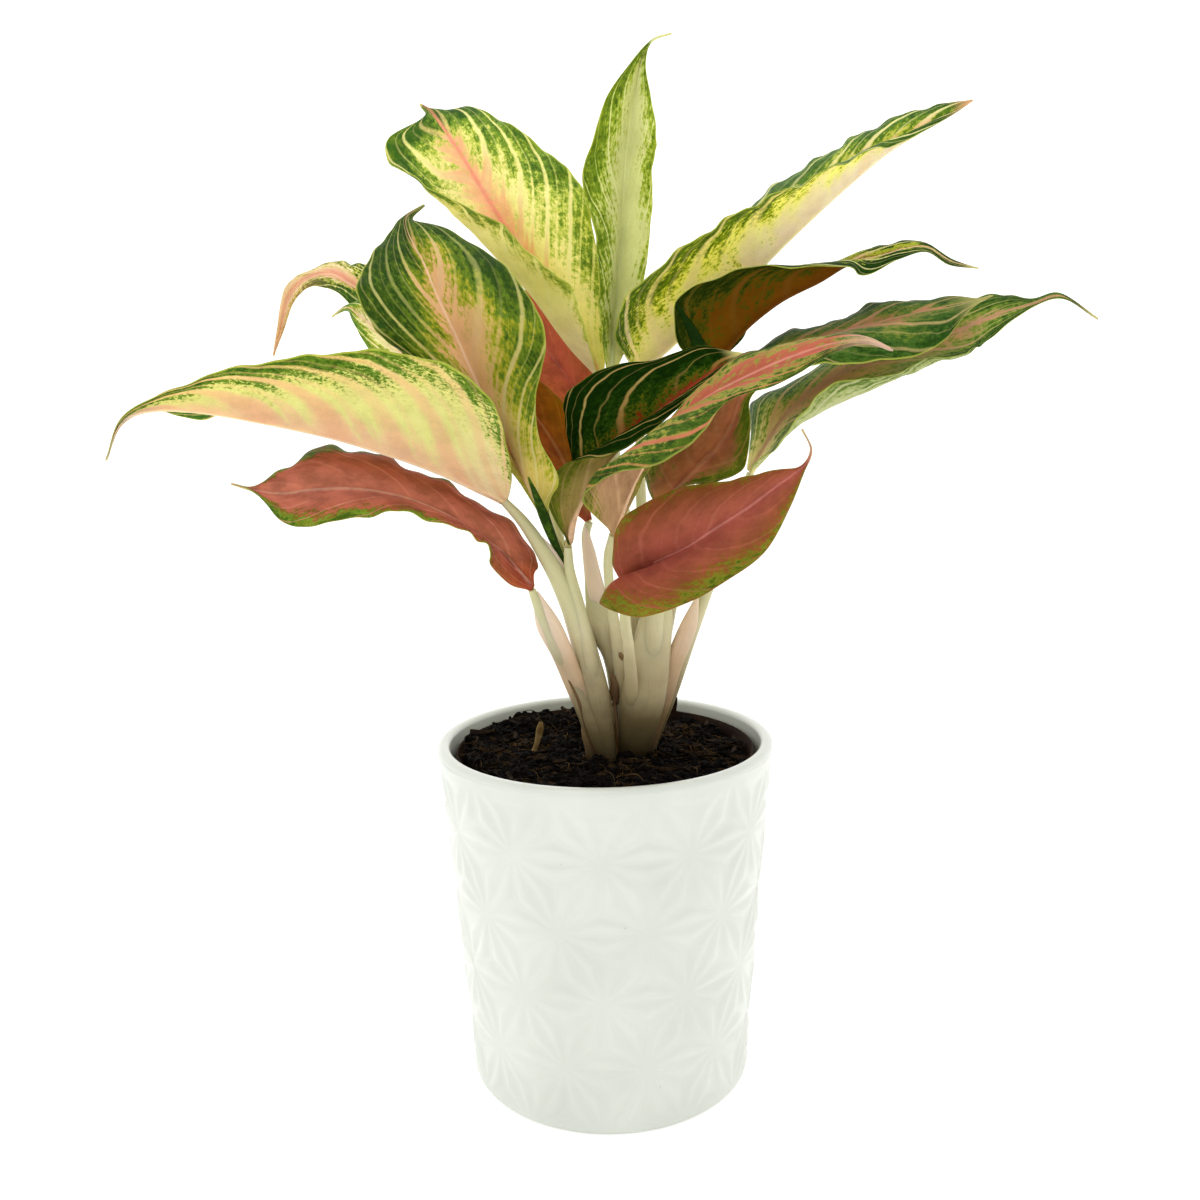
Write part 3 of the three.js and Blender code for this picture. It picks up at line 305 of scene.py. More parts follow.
def makeCoverPot(pot):
    spots, faces = starWall(pot)
    top, bottom = pot["height"] - pot["lipBand"] + 1, pot["footBand"] - 0.5  # where the starred wall is cut
    build = bmesh.new()
    corners = [build.verts.new(p) for p in spots]
    for f in faces:
        build.faces.new([corners[i] for i in f])
    for cutAt, side in ((top, 1), (bottom, -1)):
        parts = build.verts[:] + build.edges[:] + build.faces[:]
        bmesh.ops.bisect_plane(build, geom=parts, plane_co=(0, 0, cutAt), plane_no=(0, 0, side),
                               clear_outer=True, dist=1e-5)
    bmesh.ops.remove_doubles(build, verts=build.verts, dist=0.02)

    rim, height, floor, turn = pot["rimRadius"], pot["height"], pot["floor"], pot["lipRound"]
    innerTurn = turn * 0.9
    bore = wallRadius(pot, floor) - pot["wall"]
    flat = bore - pot["floorRound"]  # the flat part of the floor inside
    quarter = [math.pi / 2 * k / pot["lipSteps"] for k in range(2 * pot["lipSteps"] + 1)]
    lip = [(wallRadius(pot, top + 2), top + 2)]
    for angle in quarter[:pot["lipSteps"] + 1]:
        lip.append((rim - turn + turn * math.cos(angle), height - turn + turn * math.sin(angle)))
    for angle in quarter[pot["lipSteps"] + 1:]:
        lip.append((rim - pot["wall"] + innerTurn + innerTurn * math.cos(angle),
                    height - innerTurn + innerTurn * math.sin(angle)))
    lip += [(wallRadius(pot, z) - pot["wall"], z) for z in (*pot["innerRings"], floor + pot["floorRound"])]
    lip += [(bore - pot["floorCurl"], floor + pot["floorCurl"])]
    lip += [(flat * share, floor) for share in (1, 0.75, 0.5, 0.25)]
    chamfer = pot["footChamfer"]
    toe = wallRadius(pot, chamfer)
    foot = [(toe - inwards, chamfer * up) for inwards, up in ((0, 1), (0.5, 0.45), (1.1, 0.12))]
    foot += [(r, 0) for r in (pot["footRadius"] - chamfer, *pot["footRings"])]
    for cutAt, profile, side in ((top, lip, 1), (bottom, foot, -1)):
        loop = [v for v in build.verts if abs(v.co.z - cutAt) < 1e-3 and v.is_boundary]
        loop.sort(key=lambda v: math.atan2(v.co.x, -v.co.y))
        angles = [math.atan2(v.co.x, -v.co.y) for v in loop]
        radius = wallRadius(pot, cutAt)
        for v, a in zip(loop, angles):
            v.co = (radius * math.sin(a), -radius * math.cos(a), cutAt)
        count = len(loop)
        for r, z in profile:
            ring = [build.verts.new((r * math.sin(a), -r * math.cos(a), z)) for a in angles]
            for k in range(count):
                quad = [loop[k], loop[(k + 1) % count], ring[(k + 1) % count], ring[k]]
                build.faces.new(quad[::side])
            loop = ring
        tip = build.verts.new((0, 0, profile[-1][1]))
        for k in range(count):
            fan = [loop[k], loop[(k + 1) % count], tip]
            build.faces.new(fan[::side])
    bmesh.ops.recalc_face_normals(build, faces=build.faces)
    mesh = meshOf("glazedPot", build)
    mesh.transform(Matrix.Scale(mm, 4))
    mesh.polygons.foreach_set("use_smooth", [True] * len(mesh.polygons))
    mesh.materials.append(satinGlaze(pot))
    finished(newObject("glazedPot", mesh), "glaze", "cover_pot")


print("cover pot")
makeCoverPot(coverPot)

# Nursery pot: thin vacuum-formed polypropylene, dark brown, with a rolled rim and drain holes
nurseryPot = {
    "rimRadius": 62.4, "footRadius": 47, "rimHeight": 139.4, "rimDrop": 6, "overhang": 1.8,
    "wall": 1.1, "bottom": 6.3, "sides": 144, "holes": 6, "holeRadius": 4, "holeCircle": 32,
    "colour": "#20120A", "worn": "#33200F",
}


def makeNurseryPot(pot):
    # Vacuum forming leaves a dull face, and damp soil dust browns it in patches
    material, tree = newMaterial("brownPolypropylene")
    where = addNode(tree, "ShaderNodeTexCoord").outputs["Object"]
    dust = addNode(tree, "ShaderNodeTexNoise", {"Scale": 90.0, "Detail": 5.0, "Roughness": 0.6,
                                                "Vector": where})
    tint = addNode(tree, "ShaderNodeValToRGB", {"Fac": dust}, [(0.4, pot["colour"]), (0.72, pot["worn"])])
    finishTree(tree, tint, dust, 0.2, 0.0002, {"Roughness": 0.7, "IOR": 1.49, "Specular IOR Level": 0.08})

    rim, rimTop, foot, wall = pot["rimRadius"], pot["rimHeight"], pot["footRadius"], pot["wall"]
    neck, under, floor = rim - pot["overhang"], rimTop - pot["rimDrop"], pot["bottom"]
    profile = [(0, floor), (20, floor), (foot - 1, floor), (foot, floor + 1), (neck - 0.4, under - 0.6),
               (neck, under), (rim - 0.3, under), (rim, under + 0.4), (rim, rimTop - 0.5),
               (rim - 0.35, rimTop - 0.1), (rim - wall + 0.3, rimTop), (rim - wall, rimTop - 0.4),
               (neck - wall + 0.2, under + 0.4), (neck - wall - 0.2, under - wall),
               (foot - wall, floor + wall + 1), (foot - wall - 1, floor + wall), (20, floor + wall),
               (0, floor + wall)]
    piece = newPiece("nurseryPot", *turned(profile, pot["sides"]), [material], sharp=35)
    hole, circle, below, above = pot["holeRadius"], pot["holeCircle"], floor - 2, floor + 4
    plug, plugFaces = turned([(0, below), (hole, below), (hole, above), (0, above)], 24)
    points, faces = [], []
    for k in range(pot["holes"]):
        a = 2 * math.pi * k / pot["holes"]
        faces += shifted(plugFaces, len(points))
        points += [(x + circle * math.cos(a), y + circle * math.sin(a), z) for x, y, z in plug]
    plugs = newPiece("drainPlugs", points, faces, [material])
    cut = piece.modifiers.new("drainHoles", "BOOLEAN")
    cut.operation, cut.object, cut.solver = "DIFFERENCE", plugs, "EXACT"
    piece.data = evaluatedMesh(piece, cut)
    bpy.data.objects.remove(plugs)
    finished(piece, "grow_plastic", "grow_pot")


print("nursery pot")
makeNurseryPot(nurseryPot)

# Potting soil: damp dark peat, crumbly, with tan coir fibres through it. A colour pair is light and dark,
# with its grain in mm. Each kind of litter has its count, the smallest and largest scale of its shape, how
# far it tilts, how patchy it lies and its seed.
pottingSoil = {
    "height": 136.3, "mound": 5.8, "edge": 58.6, "base": 8, "baseRadius": 45, "rings": 70, "sides": 200,
    "lump": 4.2, "lumpSpacing": 10, "crumbHeight": 2.4, "crumbSpacing": 3.4,
    "crumbSize": 1.7, "crumbUneven": 0.45, "crumbFlat": 0.75, "chipSize": (3.6, 0.8, 0.3), "chipBend": 0.8,
    "fibreLength": 11, "fibreWidth": 0.32, "fibreSteps": 8, "fibreBend": (1.8, 3.1), "fibreArch": (0.55, 5.0),
    "peat": ("#0E0804", "#040201", 6), "crumb": ("#120B06", "#040201", 3),
    "fibre": ("#6E5630", "#2A190C", 14), "chip": ("#33230F", "#160D05", 5),
    "litter": {
        "soilCrumbs": (4600, 0.35, 1.5, 3.1, 0.0, 4), "soilClods": (190, 1.3, 3.0, 3.1, 0.0, 11),
        "soilFibres": (1500, 0.35, 1.2, 0.22, 0.9, 7), "soilChips": (520, 0.5, 1.5, 0.6, 0.8, 9),
    },
}


def soilTop(soil, x, y):
    reach = min(math.hypot(x, y) / soil["edge"], 1)
    heaped = 0.5 + (0.35 * y - x) / (2.12 * soil["edge"])  # it lies higher at the back left
    spot = Vector((x, y, 0))
    aside = Vector((7, 3, 1))  # so that the crumbs don't follow the lumps
    lumps = noise.fractal(spot / soil["lumpSpacing"], 1.0, 2.0, 3) * soil["lump"]
    crumbs = noise.fractal(spot / soil["crumbSpacing"] + aside, 0.8, 2.1, 3) * soil["crumbHeight"]
    return soil["height"] + soil["mound"] * (heaped - 0.25) * (0.3 + 0.7 * reach) + lumps + crumbs


def peatMaterial(name, light, dark, spacing):
    # Peat is matt and nearly black when damp, with drier brown crumbs a few mm across
    material, tree = newMaterial(name)
    where = addNode(tree, "ShaderNodeTexCoord").outputs["Object"]
    grain = addNode(tree, "ShaderNodeTexNoise", {"Scale": 1000 / spacing, "Detail": 6.0, "Roughness": 0.65,
                                                 "Vector": where})
    tint = addNode(tree, "ShaderNodeValToRGB", {"Fac": grain}, [(0.42, dark), (0.68, light)])
    finishTree(tree, tint, grain, 0.7, 0.0006, {"Roughness": 0.85, "IOR": 1.4, "Specular IOR Level": 0.12})
    return material


# Scatters turned and scaled copies of one small shape over a surface, as one mesh of its own
def scatter(name, ground, shape, material, amounts):
    tree = bpy.data.node_groups.new(name, "GeometryNodeTree")
    tree.interface.new_socket("Ground", in_out="INPUT", socket_type="NodeSocketGeometry")
    for label in ("Density", "Smallest", "Largest", "Tilt", "Patchy"):
        tree.interface.new_socket(label, in_out="INPUT", socket_type="NodeSocketFloat")
    tree.interface.new_socket("Seed", in_out="INPUT", socket_type="NodeSocketInt")
    tree.interface.new_socket("Scattered", in_out="OUTPUT", socket_type="NodeSocketGeometry")
    given = addNode(tree, "NodeGroupInput").outputs
    patch = addNode(tree, "ShaderNodeTexNoise", {"Scale": 75.0, "Detail": 2.0})
    bare = addNode(tree, "ShaderNodeMapRange", {"From Min": 0.46, "From Max": 0.6, "Value": patch})
    share = addNode(tree, "ShaderNodeMix", {"data_type": "FLOAT", 0: given["Patchy"], 2: 1.0, 3: bare})
    crowd = addNode(tree, "ShaderNodeMath", {"operation": "MULTIPLY", 0: given["Density"], 1: share})
    spots = addNode(tree, "GeometryNodeDistributePointsOnFaces",
                    {"Mesh": given["Ground"], "Density": crowd, "Seed": given["Seed"]})
    spin = addNode(tree, "FunctionNodeRandomValue", {"data_type": "FLOAT", 3: 6.283, "Seed": given["Seed"]})
    sink = addNode(tree, "ShaderNodeMath", {"operation": "MULTIPLY", 0: given["Tilt"], 1: -1.0})
    tilt = addNode(tree, "FunctionNodeRandomValue",
                   {"data_type": "FLOAT", 2: sink, 3: given["Tilt"], "Seed": given["Seed"]})
    turn = addNode(tree, "ShaderNodeCombineXYZ", {"X": tilt.outputs[1], "Z": spin.outputs[1]})
    size = addNode(tree, "FunctionNodeRandomValue",
                   {"data_type": "FLOAT", 2: given["Smallest"], 3: given["Largest"], "Seed": given["Seed"]})
    source = addNode(tree, "GeometryNodeObjectInfo", {"Object": shape})
    copies = addNode(tree, "GeometryNodeInstanceOnPoints",
                     {"Points": spots, "Instance": source.outputs["Geometry"], "Rotation": turn,
                      "Scale": size.outputs[1]})
    real = addNode(tree, "GeometryNodeRealizeInstances", {"Geometry": copies})
    painted = addNode(tree, "GeometryNodeSetMaterial", {"Geometry": real, "Material": material})
    addNode(tree, "NodeGroupOutput", {"Scattered": painted})
    modifier = ground.modifiers.new(name, "NODES")
    modifier.node_group = tree
    sockets = {item.name: item.identifier for item in tree.interface.items_tree if item.in_out == "INPUT"}
    for label, value in amounts.items():
        modifier[sockets[label]] = value
    mesh = evaluatedMesh(ground, modifier)
    mesh.name = name
    finished(newObject(name, mesh), "soil")


def makeSoil(soil):
    peat, crumbPeat = peatMaterial("dampPeat", *soil["peat"]), peatMaterial("peatCrumb", *soil["crumb"])
    rings, sides = soil["rings"], soil["sides"]
    angles = [2 * math.pi * k / sides for k in range(sides)]
    points = [(0, 0, soilTop(soil, 0, 0))]
    for i in range(1, rings + 1):
        for a in angles:
            x, y = soil["edge"] * i / rings * math.cos(a), soil["edge"] * i / rings * math.sin(a)
            points.append((x, y, soilTop(soil, x, y)))
    faces = [(0, 1 + k, 1 + (k + 1) % sides) for k in range(sides)]
    for i in range(rings - 1):
        for k in range(sides):
            a, b = 1 + i * sides + k, 1 + i * sides + (k + 1) % sides
            faces.append((a, a + sides, b + sides, b))
    ground = newPiece("soilTopSkin", points, faces, [peat])  # the litter is scattered over the top alone
    foot, last = len(points), 1 + (rings - 1) * sides
    radius = soil["baseRadius"]
    points += [(radius * math.cos(a), radius * math.sin(a), soil["base"]) for a in angles]
    for k in range(sides):
        faces.append((last + k, foot + k, foot + (k + 1) % sides, last + (k + 1) % sides))
    faces.append(tuple(foot + k for k in reversed(range(sides))))
    finished(newPiece("pottingSoilHeap", points, faces, [peat], sharp=60), "soil", "potting_soil")

    # A crumb is an uneven lump of 20 faces
    build = bmesh.new()
    bmesh.ops.create_icosphere(build, subdivisions=1, radius=soil["crumbSize"] / 2 * mm)
    for v in build.verts:
        v.co *= 1 + soil["crumbUneven"] * noise.noise(v.co / mm * 1.7)
        v.co.z *= soil["crumbFlat"]
    lump = newObject("crumbShape", meshOf("crumbShape", build))

    # A fibre is a thin bent hair lying on the surface
    points = []
    (bend, bendTurn), (arch, archTurn) = soil["fibreBend"], soil["fibreArch"]
    for i in range(soil["fibreSteps"] + 1):
        t = i / soil["fibreSteps"] - 0.5
        x, y, z = t * soil["fibreLength"], bend * math.cos(t * bendTurn), arch * math.cos(t * archTurn)
        r = soil["fibreWidth"] / 2 * (1 - 0.6 * abs(t) * 2)
        points += [(x, y + r * math.cos(a), z + r * math.sin(a))
                   for a in (0, math.pi / 2, math.pi, math.pi * 1.5)]
    hair = newPiece("fibreShape", points, ringRows(soil["fibreSteps"] + 1, 4), [crumbPeat])

    # A chip is a flat, bent splinter of bark, some standing up from the peat
    long, wide, thick = soil["chipSize"]
    points = [(x * long, y * wide * (1 - 0.5 * abs(x + 0.2)), z * thick + x * x * soil["chipBend"])
              for z in (-1, 1) for y in (-1, 1) for x in (-1, -0.3, 0.4, 1)]
    faces = [(i, i + 1, i + 5, i + 4) for i in (8, 9, 10)] + [(i, i + 4, i + 5, i + 1) for i in (0, 1, 2)]
    faces += [(i, i + 1, i + 9, i + 8) for i in (0, 1, 2)] + [(i, i + 8, i + 9, i + 1) for i in (4, 5, 6)]
    faces += [(0, 8, 12, 4), (3, 7, 15, 11)]
    splinter = newPiece("chipShape", points, faces, [crumbPeat])

    coir, bark = peatMaterial("coirFibre", *soil["fibre"]), peatMaterial("barkChip", *soil["chip"])
    area = math.pi * (soil["edge"] * mm) ** 2
    shapes = {"soilCrumbs": (lump, crumbPeat), "soilClods": (lump, crumbPeat), "soilFibres": (hair, coir),
              "soilChips": (splinter, bark)}
    for name, (shape, material) in shapes.items():
        count, smallest, largest, tilt, patchy, seed = soil["litter"][name]
        scatter(name, ground, shape, material,
                {"Density": count / area, "Smallest": smallest, "Largest": largest, "Tilt": tilt,
                 "Patchy": patchy, "Seed": seed})
    for helper in (ground, lump, hair, splinter):
        bpy.data.objects.remove(helper)


print("potting soil")
makeSoil(pottingSoil)

# Stems: smooth cream petioles, faintly green above and pinkish in the papery sheaths below, with painted
# shade darkening their feet low in the pot
stemLook = {
    # Each ramp is read by height: its dark first stops are painted shade low in the pot, and its later stops
    # are the stem's own colours
    "petiole": [(0.0, "#3A3019"), (0.25, "#6A5C3C"), (0.5, "#AC9D76"), (0.8, "#D0C69E"), (1.0, "#CAC698")],
    "sheath": [(0.0, "#3E301C"), (0.25, "#7C6442"), (0.5, "#C6A884"), (0.8, "#E6CAAC"), (1.0, "#EAD2B8")],
    "dried": [(0.0, "#3A2812"), (0.5, "#6E5233"), (1.0, "#9A7A54")],
    # The first two heights, in metres, are where the painted shade is deepest and where it has lifted
    "shadeFrom": 0.136, "fadeTo": 0.208, "sides": 20, "rings": 60, "rootDepth": 14, "soilLinePx": 730,
    "gutter": 0.1, "gutterWidth": 0.5,
}
clumps = {
    "stems_left": {"foot": (605, 755, -11), "radius": 5.8, "stems": {
        "left_long": [(504, 501, -25, 1.6), (524, 523, -22, 2.3), (541, 548, -20, 3), (560, 580, -17, 4),
            (576, 618, -14, 4.6), (588, 660, -11, 5), (598, 700, -12, 5.2), (605, 754, -11, 4.8)],
        "left_broad": [(562, 553, -13, 1.6), (571, 585, -13, 2.6), (582, 630, -12, 3.6),
            (594, 685, -12, 4.4), (606, 752, -10.5, 4.6)],
        "left_coral": [(532, 590, -22, 1.5), (545, 623, -20, 2.6), (556, 647, -17, 3), (573, 680, -13, 3.6),
            (590, 720, -13, 4.2), (603, 753, -11.5, 4.4)],
        "centre_dark": [(568, 547, -22, 1.6), (570, 572, -20, 2), (580, 610, -17, 2.4), (590, 660, -14, 3),
            (600, 715, -11, 3.6), (606, 750, -10, 4)],
        "back_drooping": [(455, 378, 57, 1.4), (498, 418, 42, 1.7), (537, 475, 26, 1.9), (560, 540, 14, 2),
            (571, 600, 6, 2.2), (586, 650, -1, 2.4), (597, 700, -6, 2.8), (606, 745, -9, 3.4)],
        "back_pale": [(480, 425, 27, 1.4), (520, 470, 16, 1.7), (552, 535, 6, 1.9), (568, 592, -2, 2.2),
            (584, 645, -5, 2.4), (596, 700, -8, 2.8), (606, 745, -9, 3.4)],
    }},
    "stems_right": {"foot": (636, 753, 2), "radius": 8.6, "stems": {
        "back_orange": [(589, 522, -2, 1.6), (586, 535, -1, 1.8), (589, 553, 0, 2.7), (593, 577, 0, 3.5),
            (597, 601, -1, 4.8), (603, 626, -2, 6.4), (614, 655, -1, 4.8), (620, 695, 1, 4.2),
            (629, 752, 2, 4.6)],
        "centre_rolled": [(613, 535, -32, 1.6), (608, 560, -26, 1.8), (611, 600, -19, 2),
            (618, 650, -10, 2.6), (625, 700, -4, 3.4), (630, 752, 0, 4.2)],
        "front_coral": [(628, 591, -44, 1.4), (625, 620, -34, 2.1), (629, 650, -24, 2.2), (632, 695, -13, 3),
            (634, 752, -2, 4.6)],
        "centre_brown": [(661, 510, -20, 1.5), (660, 560, -16, 2.2), (656, 610, -12, 3.4),
            (651, 660, -8, 4.6), (645, 705, -2, 5.2), (640, 752, 1, 5.4)],
        "right_twisted": [(713, 366, 2, 1.5), (703, 420, 5, 1.8), (686, 500, 6, 2.2), (670, 570, 4, 3),
            (659, 625, 2, 4.2), (650, 690, 3, 4.8), (641, 752, 4, 5.2)],
        "right_dark": [(733, 378, -2, 1.5), (722, 420, 4, 1.8), (700, 490, 8, 2.2), (678, 570, 7, 2.8),
            (664, 630, 5, 3.6), (652, 690, 5, 4.4), (642, 751, 5, 5)],
        "right_low": [(750.4, 473, 6, 1.5), (735, 520, 4, 2), (713, 575, 1, 2.3), (701, 605, -1, 2.8),
            (684, 645, -2, 4), (668, 690, 1, 4.4), (650, 735, 2, 4.6), (641, 757, 2, 4.6)],
        "upper_right": [(640, 373, 14, 1.5), (640, 440, 14, 1.9), (642, 520, 12, 2.3), (648, 600, 8, 3),
            (648, 680, 6, 4.4), (639, 750, 5, 5)],
        "upper_left": [(600, 377, 6, 1.5), (604, 440, 8, 1.9), (615, 500, 10, 2.2), (625, 560, 10, 2.6),
            (636, 620, 8, 3.4), (638, 690, 7, 4.2), (633, 750, 5, 5)],
        "top": [(610, 377, 1, 1.5), (615, 450, 3, 1.9), (626, 520, 8, 2.2), (634, 580, 13, 2.6),
            (641, 630, 10, 3.4), (642, 690, 9, 4.2), (636, 749, 6, 5)],
        "back_red": [(602, 455, 22, 1.5), (612, 500, 20, 1.8), (622, 550, 20, 2.2), (632, 610, 16, 2.6),
            (640, 680, 12, 3.4), (637, 748, 8, 4.4)],
    }},
}

# Papery sheaths wrap the feet of the petioles. Each is a flattened sleeve, and its skin is
# 0 for a smooth one, 1 for a papery one and 2 for a dried brown edge.
wraps = {
    "stems_left": [
        {"skin": 1, "flat": 0.6, "path": [(536, 592, -21.5, 1), (547, 622, -19.5, 4.6),
            (562, 652, -16.5, 4.5), (575, 684, -14, 4.2), (589, 716, -13, 4.4), (602, 752, -12, 4.6)]},
        {"skin": 1, "flat": 0.6, "path": [(543, 538, -21, 0.3), (550, 552, -19.4, 2), (560, 575, -17.4, 3.4),
            (572, 608, -15, 4.3), (583, 645, -12, 4.6)]},
        {"skin": 1, "flat": 0.5, "path": [(583, 722, -14, 0.8), (586, 734, -14, 1.8),
            (591, 751, -13.5, 2.4)]},
        {"skin": 2, "flat": 0.5, "path": [(566, 675, -16.4, 0.2), (572, 687, -16.8, 0.5),
            (580, 705, -16.6, 0.7), (587, 730, -16, 0.8), (595, 751, -15, 0.9)]},
    ],
    "stems_right": [
        {"skin": 0, "flat": 0.62, "path": [(660, 590, -6, 4.6), (656, 620, -7, 6.8), (651, 650, -8, 8),
            (646, 680, -9, 9), (641, 705, -9.5, 9.2), (636, 735, -8, 7.4), (631, 758, -6, 5.6)]},
        {"skin": 1, "flat": 0.5, "path": [(585, 526, -3.5, 0.4), (588, 545, -3.6, 2.1),
            (592, 570, -3.8, 3.1), (597, 595, -4.4, 3.2), (602, 614, -5, 1)]},
        {"skin": 1, "flat": 0.5, "path": [(697, 598, -4, 0.8), (690, 622, -5, 3.2), (681, 645, -5.5, 3.8),
            (672, 668, -5, 3.8), (662, 700, -4, 4), (648, 740, -3, 4)]},
        {"skin": 2, "flat": 0.5, "path": [(611, 673, -8.4, 0.4), (615, 684, -7.8, 1.9),
            (614, 694, -7.2, 2.1), (616, 701, -7, 1.6), (612, 706, -6.6, 0.4)]},
        {"skin": 2, "flat": 0.5, "path": [(614, 698, -9, 0.4), (616, 720, -10.4, 0.7), (617, 742, -9.8, 0.7),
            (618, 757, -9, 0.6)]},
        {"skin": 2, "flat": 0.6, "path": [(618, 650, -12.4, 0.2), (621, 656, -11.8, 1),
            (622, 661, -11, 0.2)]},
    ],
}


def petioleSkin(name, stops, look):
    # A petiole has fine lengthwise fibres about 0.5 mm apart under a waxy skin, and its colour darkens
    # towards its foot as painted shade low in the pot
    material, tree = newMaterial(name)
    uv = addNode(tree, "ShaderNodeUVMap", {"uv_map": "spread"})
    split = addNode(tree, "ShaderNodeSeparateXYZ", {"Vector": uv}).outputs
    along = addNode(tree, "ShaderNodeMath", {"operation": "MULTIPLY", 0: split["X"], 1: 0.035})
    around = addNode(tree, "ShaderNodeMath", {"operation": "MULTIPLY", 0: split["Y"], 1: 1.4})
    fibre = addNode(tree, "ShaderNodeCombineXYZ", {"X": along, "Y": around})
    streaks = addNode(tree, "ShaderNodeTexNoise", {"Scale": 1.0, "Detail": 3.0, "Roughness": 0.6,
                                                   "Vector": fibre})
    where = addNode(tree, "ShaderNodeTexCoord").outputs["Object"]
    spot = addNode(tree, "ShaderNodeSeparateXYZ", {"Vector": where}).outputs
    # Painted shade: the colour is picked by height, darkest at the foot of the stem and its own tint higher
    # up
    rise = addNode(tree, "ShaderNodeMapRange", {"Value": spot["Z"], "From Min": look["shadeFrom"],
                                                "From Max": look["fadeTo"], "To Min": -0.15, "To Max": 0.9})
    drift = addNode(tree, "ShaderNodeTexNoise", {"Scale": 70.0, "Detail": 3.0, "Vector": where})
    height = addNode(tree, "ShaderNodeMath", {"operation": "MULTIPLY_ADD", 0: drift, 1: 0.3, 2: rise})
    tint = addNode(tree, "ShaderNodeValToRGB", {"Fac": height}, stops)
    line = addNode(tree, "ShaderNodeMapRange", {"Value": streaks, "From Min": 0.3, "From Max": 0.75,
                                                "To Min": 1.03, "To Max": 0.91})
    colour = addNode(tree, "ShaderNodeVectorMath", {"operation": "SCALE", 0: tint, "Scale": line})
    finishTree(tree, colour, streaks, 0.2, 0.0003,
               {"Roughness": 0.45, "IOR": 1.42, "Specular IOR Level": 0.3, "Subsurface Weight": 0.2,
                "Subsurface Radius": (0.004, 0.003, 0.0015), "Subsurface Scale": 1.0})
    return material


# A sleeve along a path of (px across, px down, mm behind the axis, radius in mm), sunk straight at its end
def stemTube(path, sides, rings, flat, sink=0):
    spots, radii = place(path), [[p[3]] for p in path]
    if sink:
        spots, radii = np.vstack((spots, spots[-1] - (0, 0, sink))), radii + radii[-1:]
    shares = np.linspace(0, 1, rings)
    middle = smoothLine(spots, shares)
    radius = smoothLine(radii, shares)
    tangent = unit(np.gradient(middle, axis=0))
    side = unit(np.cross((0.0, 1.0, 0.0), tangent))
    front = np.cross(tangent, side)
    angles = np.arange(sides) * 2 * math.pi / sides
    # A shallow gutter runs down the inner face of each petiole
    gutter = np.exp(-((angles - math.pi / 2) / stemLook["gutterWidth"]) ** 2)
    girth = radius * (1 - stemLook["gutter"] * gutter)[None, :]
    points = (middle[:, None] + side[:, None] * (girth * np.cos(angles))[..., None]
              + front[:, None] * (girth * flat * np.sin(angles))[..., None]).reshape(-1, 3)
    uv = np.stack((np.repeat(lengthAlong(middle), sides), (radius * angles[None, :]).ravel()), 1)
    return list(points), ringRows(rings, sides), list(uv)


def makeStems(look, clumps, wraps):
    skins = [petioleSkin(name, look[kind], look) for name, kind in
             (("petioleSkin", "petiole"), ("paperySheath", "sheath"), ("driedSheath", "dried"))]
    for name, clump in clumps.items():
        points, faces, uv, kinds = [], [], [], []
        parts = [(path, 1, 0) for path in clump["stems"].values()]
        parts += [(wrap["path"], wrap["flat"], wrap["skin"]) for wrap in wraps[name]]
        for path, flat, kind in parts:
            sink = look["rootDepth"] * 0.6 if path[-1][1] > look["soilLinePx"] else 0
            spots, quads, spread = stemTube(path, look["sides"], look["rings"], flat, sink)
            faces += shifted(quads, len(points))
            points += spots
            uv += spread
            kinds += [kind] * len(quads)
        # The clump's crown lies under the soil and joins its stems
        radius, foot, depth = clump["radius"], place([clump["foot"]])[0], look["rootDepth"]
        crown, quads = turned([(0, -depth), (radius * 0.7, -depth), (radius, 4 - depth), (radius, -7),
                               (radius * 0.8, -5), (0, -4)], 32)
        faces += shifted(quads, len(points))
        points += [np.array(p) + foot for p in crown]
        uv += [(z, x) for x, y, z in crown]
        kinds += [0] * len(quads)
        piece = newPiece(name + "Petioles", points, faces, skins, kinds)
        paintUv(piece, "spread", uv)
        finished(piece, "stem", name)


print("stems")
makeStems(stemLook, clumps, wraps)

# Two splinters of bark stand up out of the peat, one pale at the left and one dark at the back right
splinters = {
    "paleSplinter": {
        "bark": ("#8E7850", "#54401F", 5),
        "path": [(541, 722, -1, 0.8), (540, 730, -3, 1.7), (537, 743, -5, 1.1), (533, 755, -7, 1.3),
                 (531, 764, -8, 0.8)],
    },
    "darkSplinter": {
        "bark": ("#2A1C10", "#0C0704", 5),
        "path": [(677, 697, 49, 0.3), (675, 703, 49, 1.2), (672, 712, 49, 2.1), (669, 724, 48, 2.6)],
    },
}
for name, splinter in splinters.items():
    points, faces, uv = stemTube(splinter["path"], 7, 12, 0.6)
    piece = newPiece(name, points, faces, [peatMaterial(name + "Bark", *splinter["bark"])], sharp=40)
    finished(piece, "soil")

# Leaf blades. Pale veins leave the rib at a slant and sweep towards the tip, and green flecks crowd
# between them towards the margins, fading to yellow, cream and pink by the rib. Lengths are in mm.
bladeBuild = {
    "thickness": 0.55, "edgeThickness": 0.32, "rows": 110, "halfColumns": 17, "narrowest": 0.22,
    "cupWidth": 30, "ribRise": 1.35, "ribRiseTip": 0.25, "ribWidth": 1.5, "ribFullWidth": 5, "soften": 3,
    "pleat": 0.22, "pleatWidth": 1.3, "veinSway": (5.0, 21), "veinTremor": (0.9, 7),
    "rippleLength": 21, "rippleShort": 0.47, "rippleFullWidth": 20, "seedStep": 1.37,
    "rollSides": 12, "rollRings": 24, "rollFlat": 0.55, "rollOut": 0.93, "rollReach": 30,
}

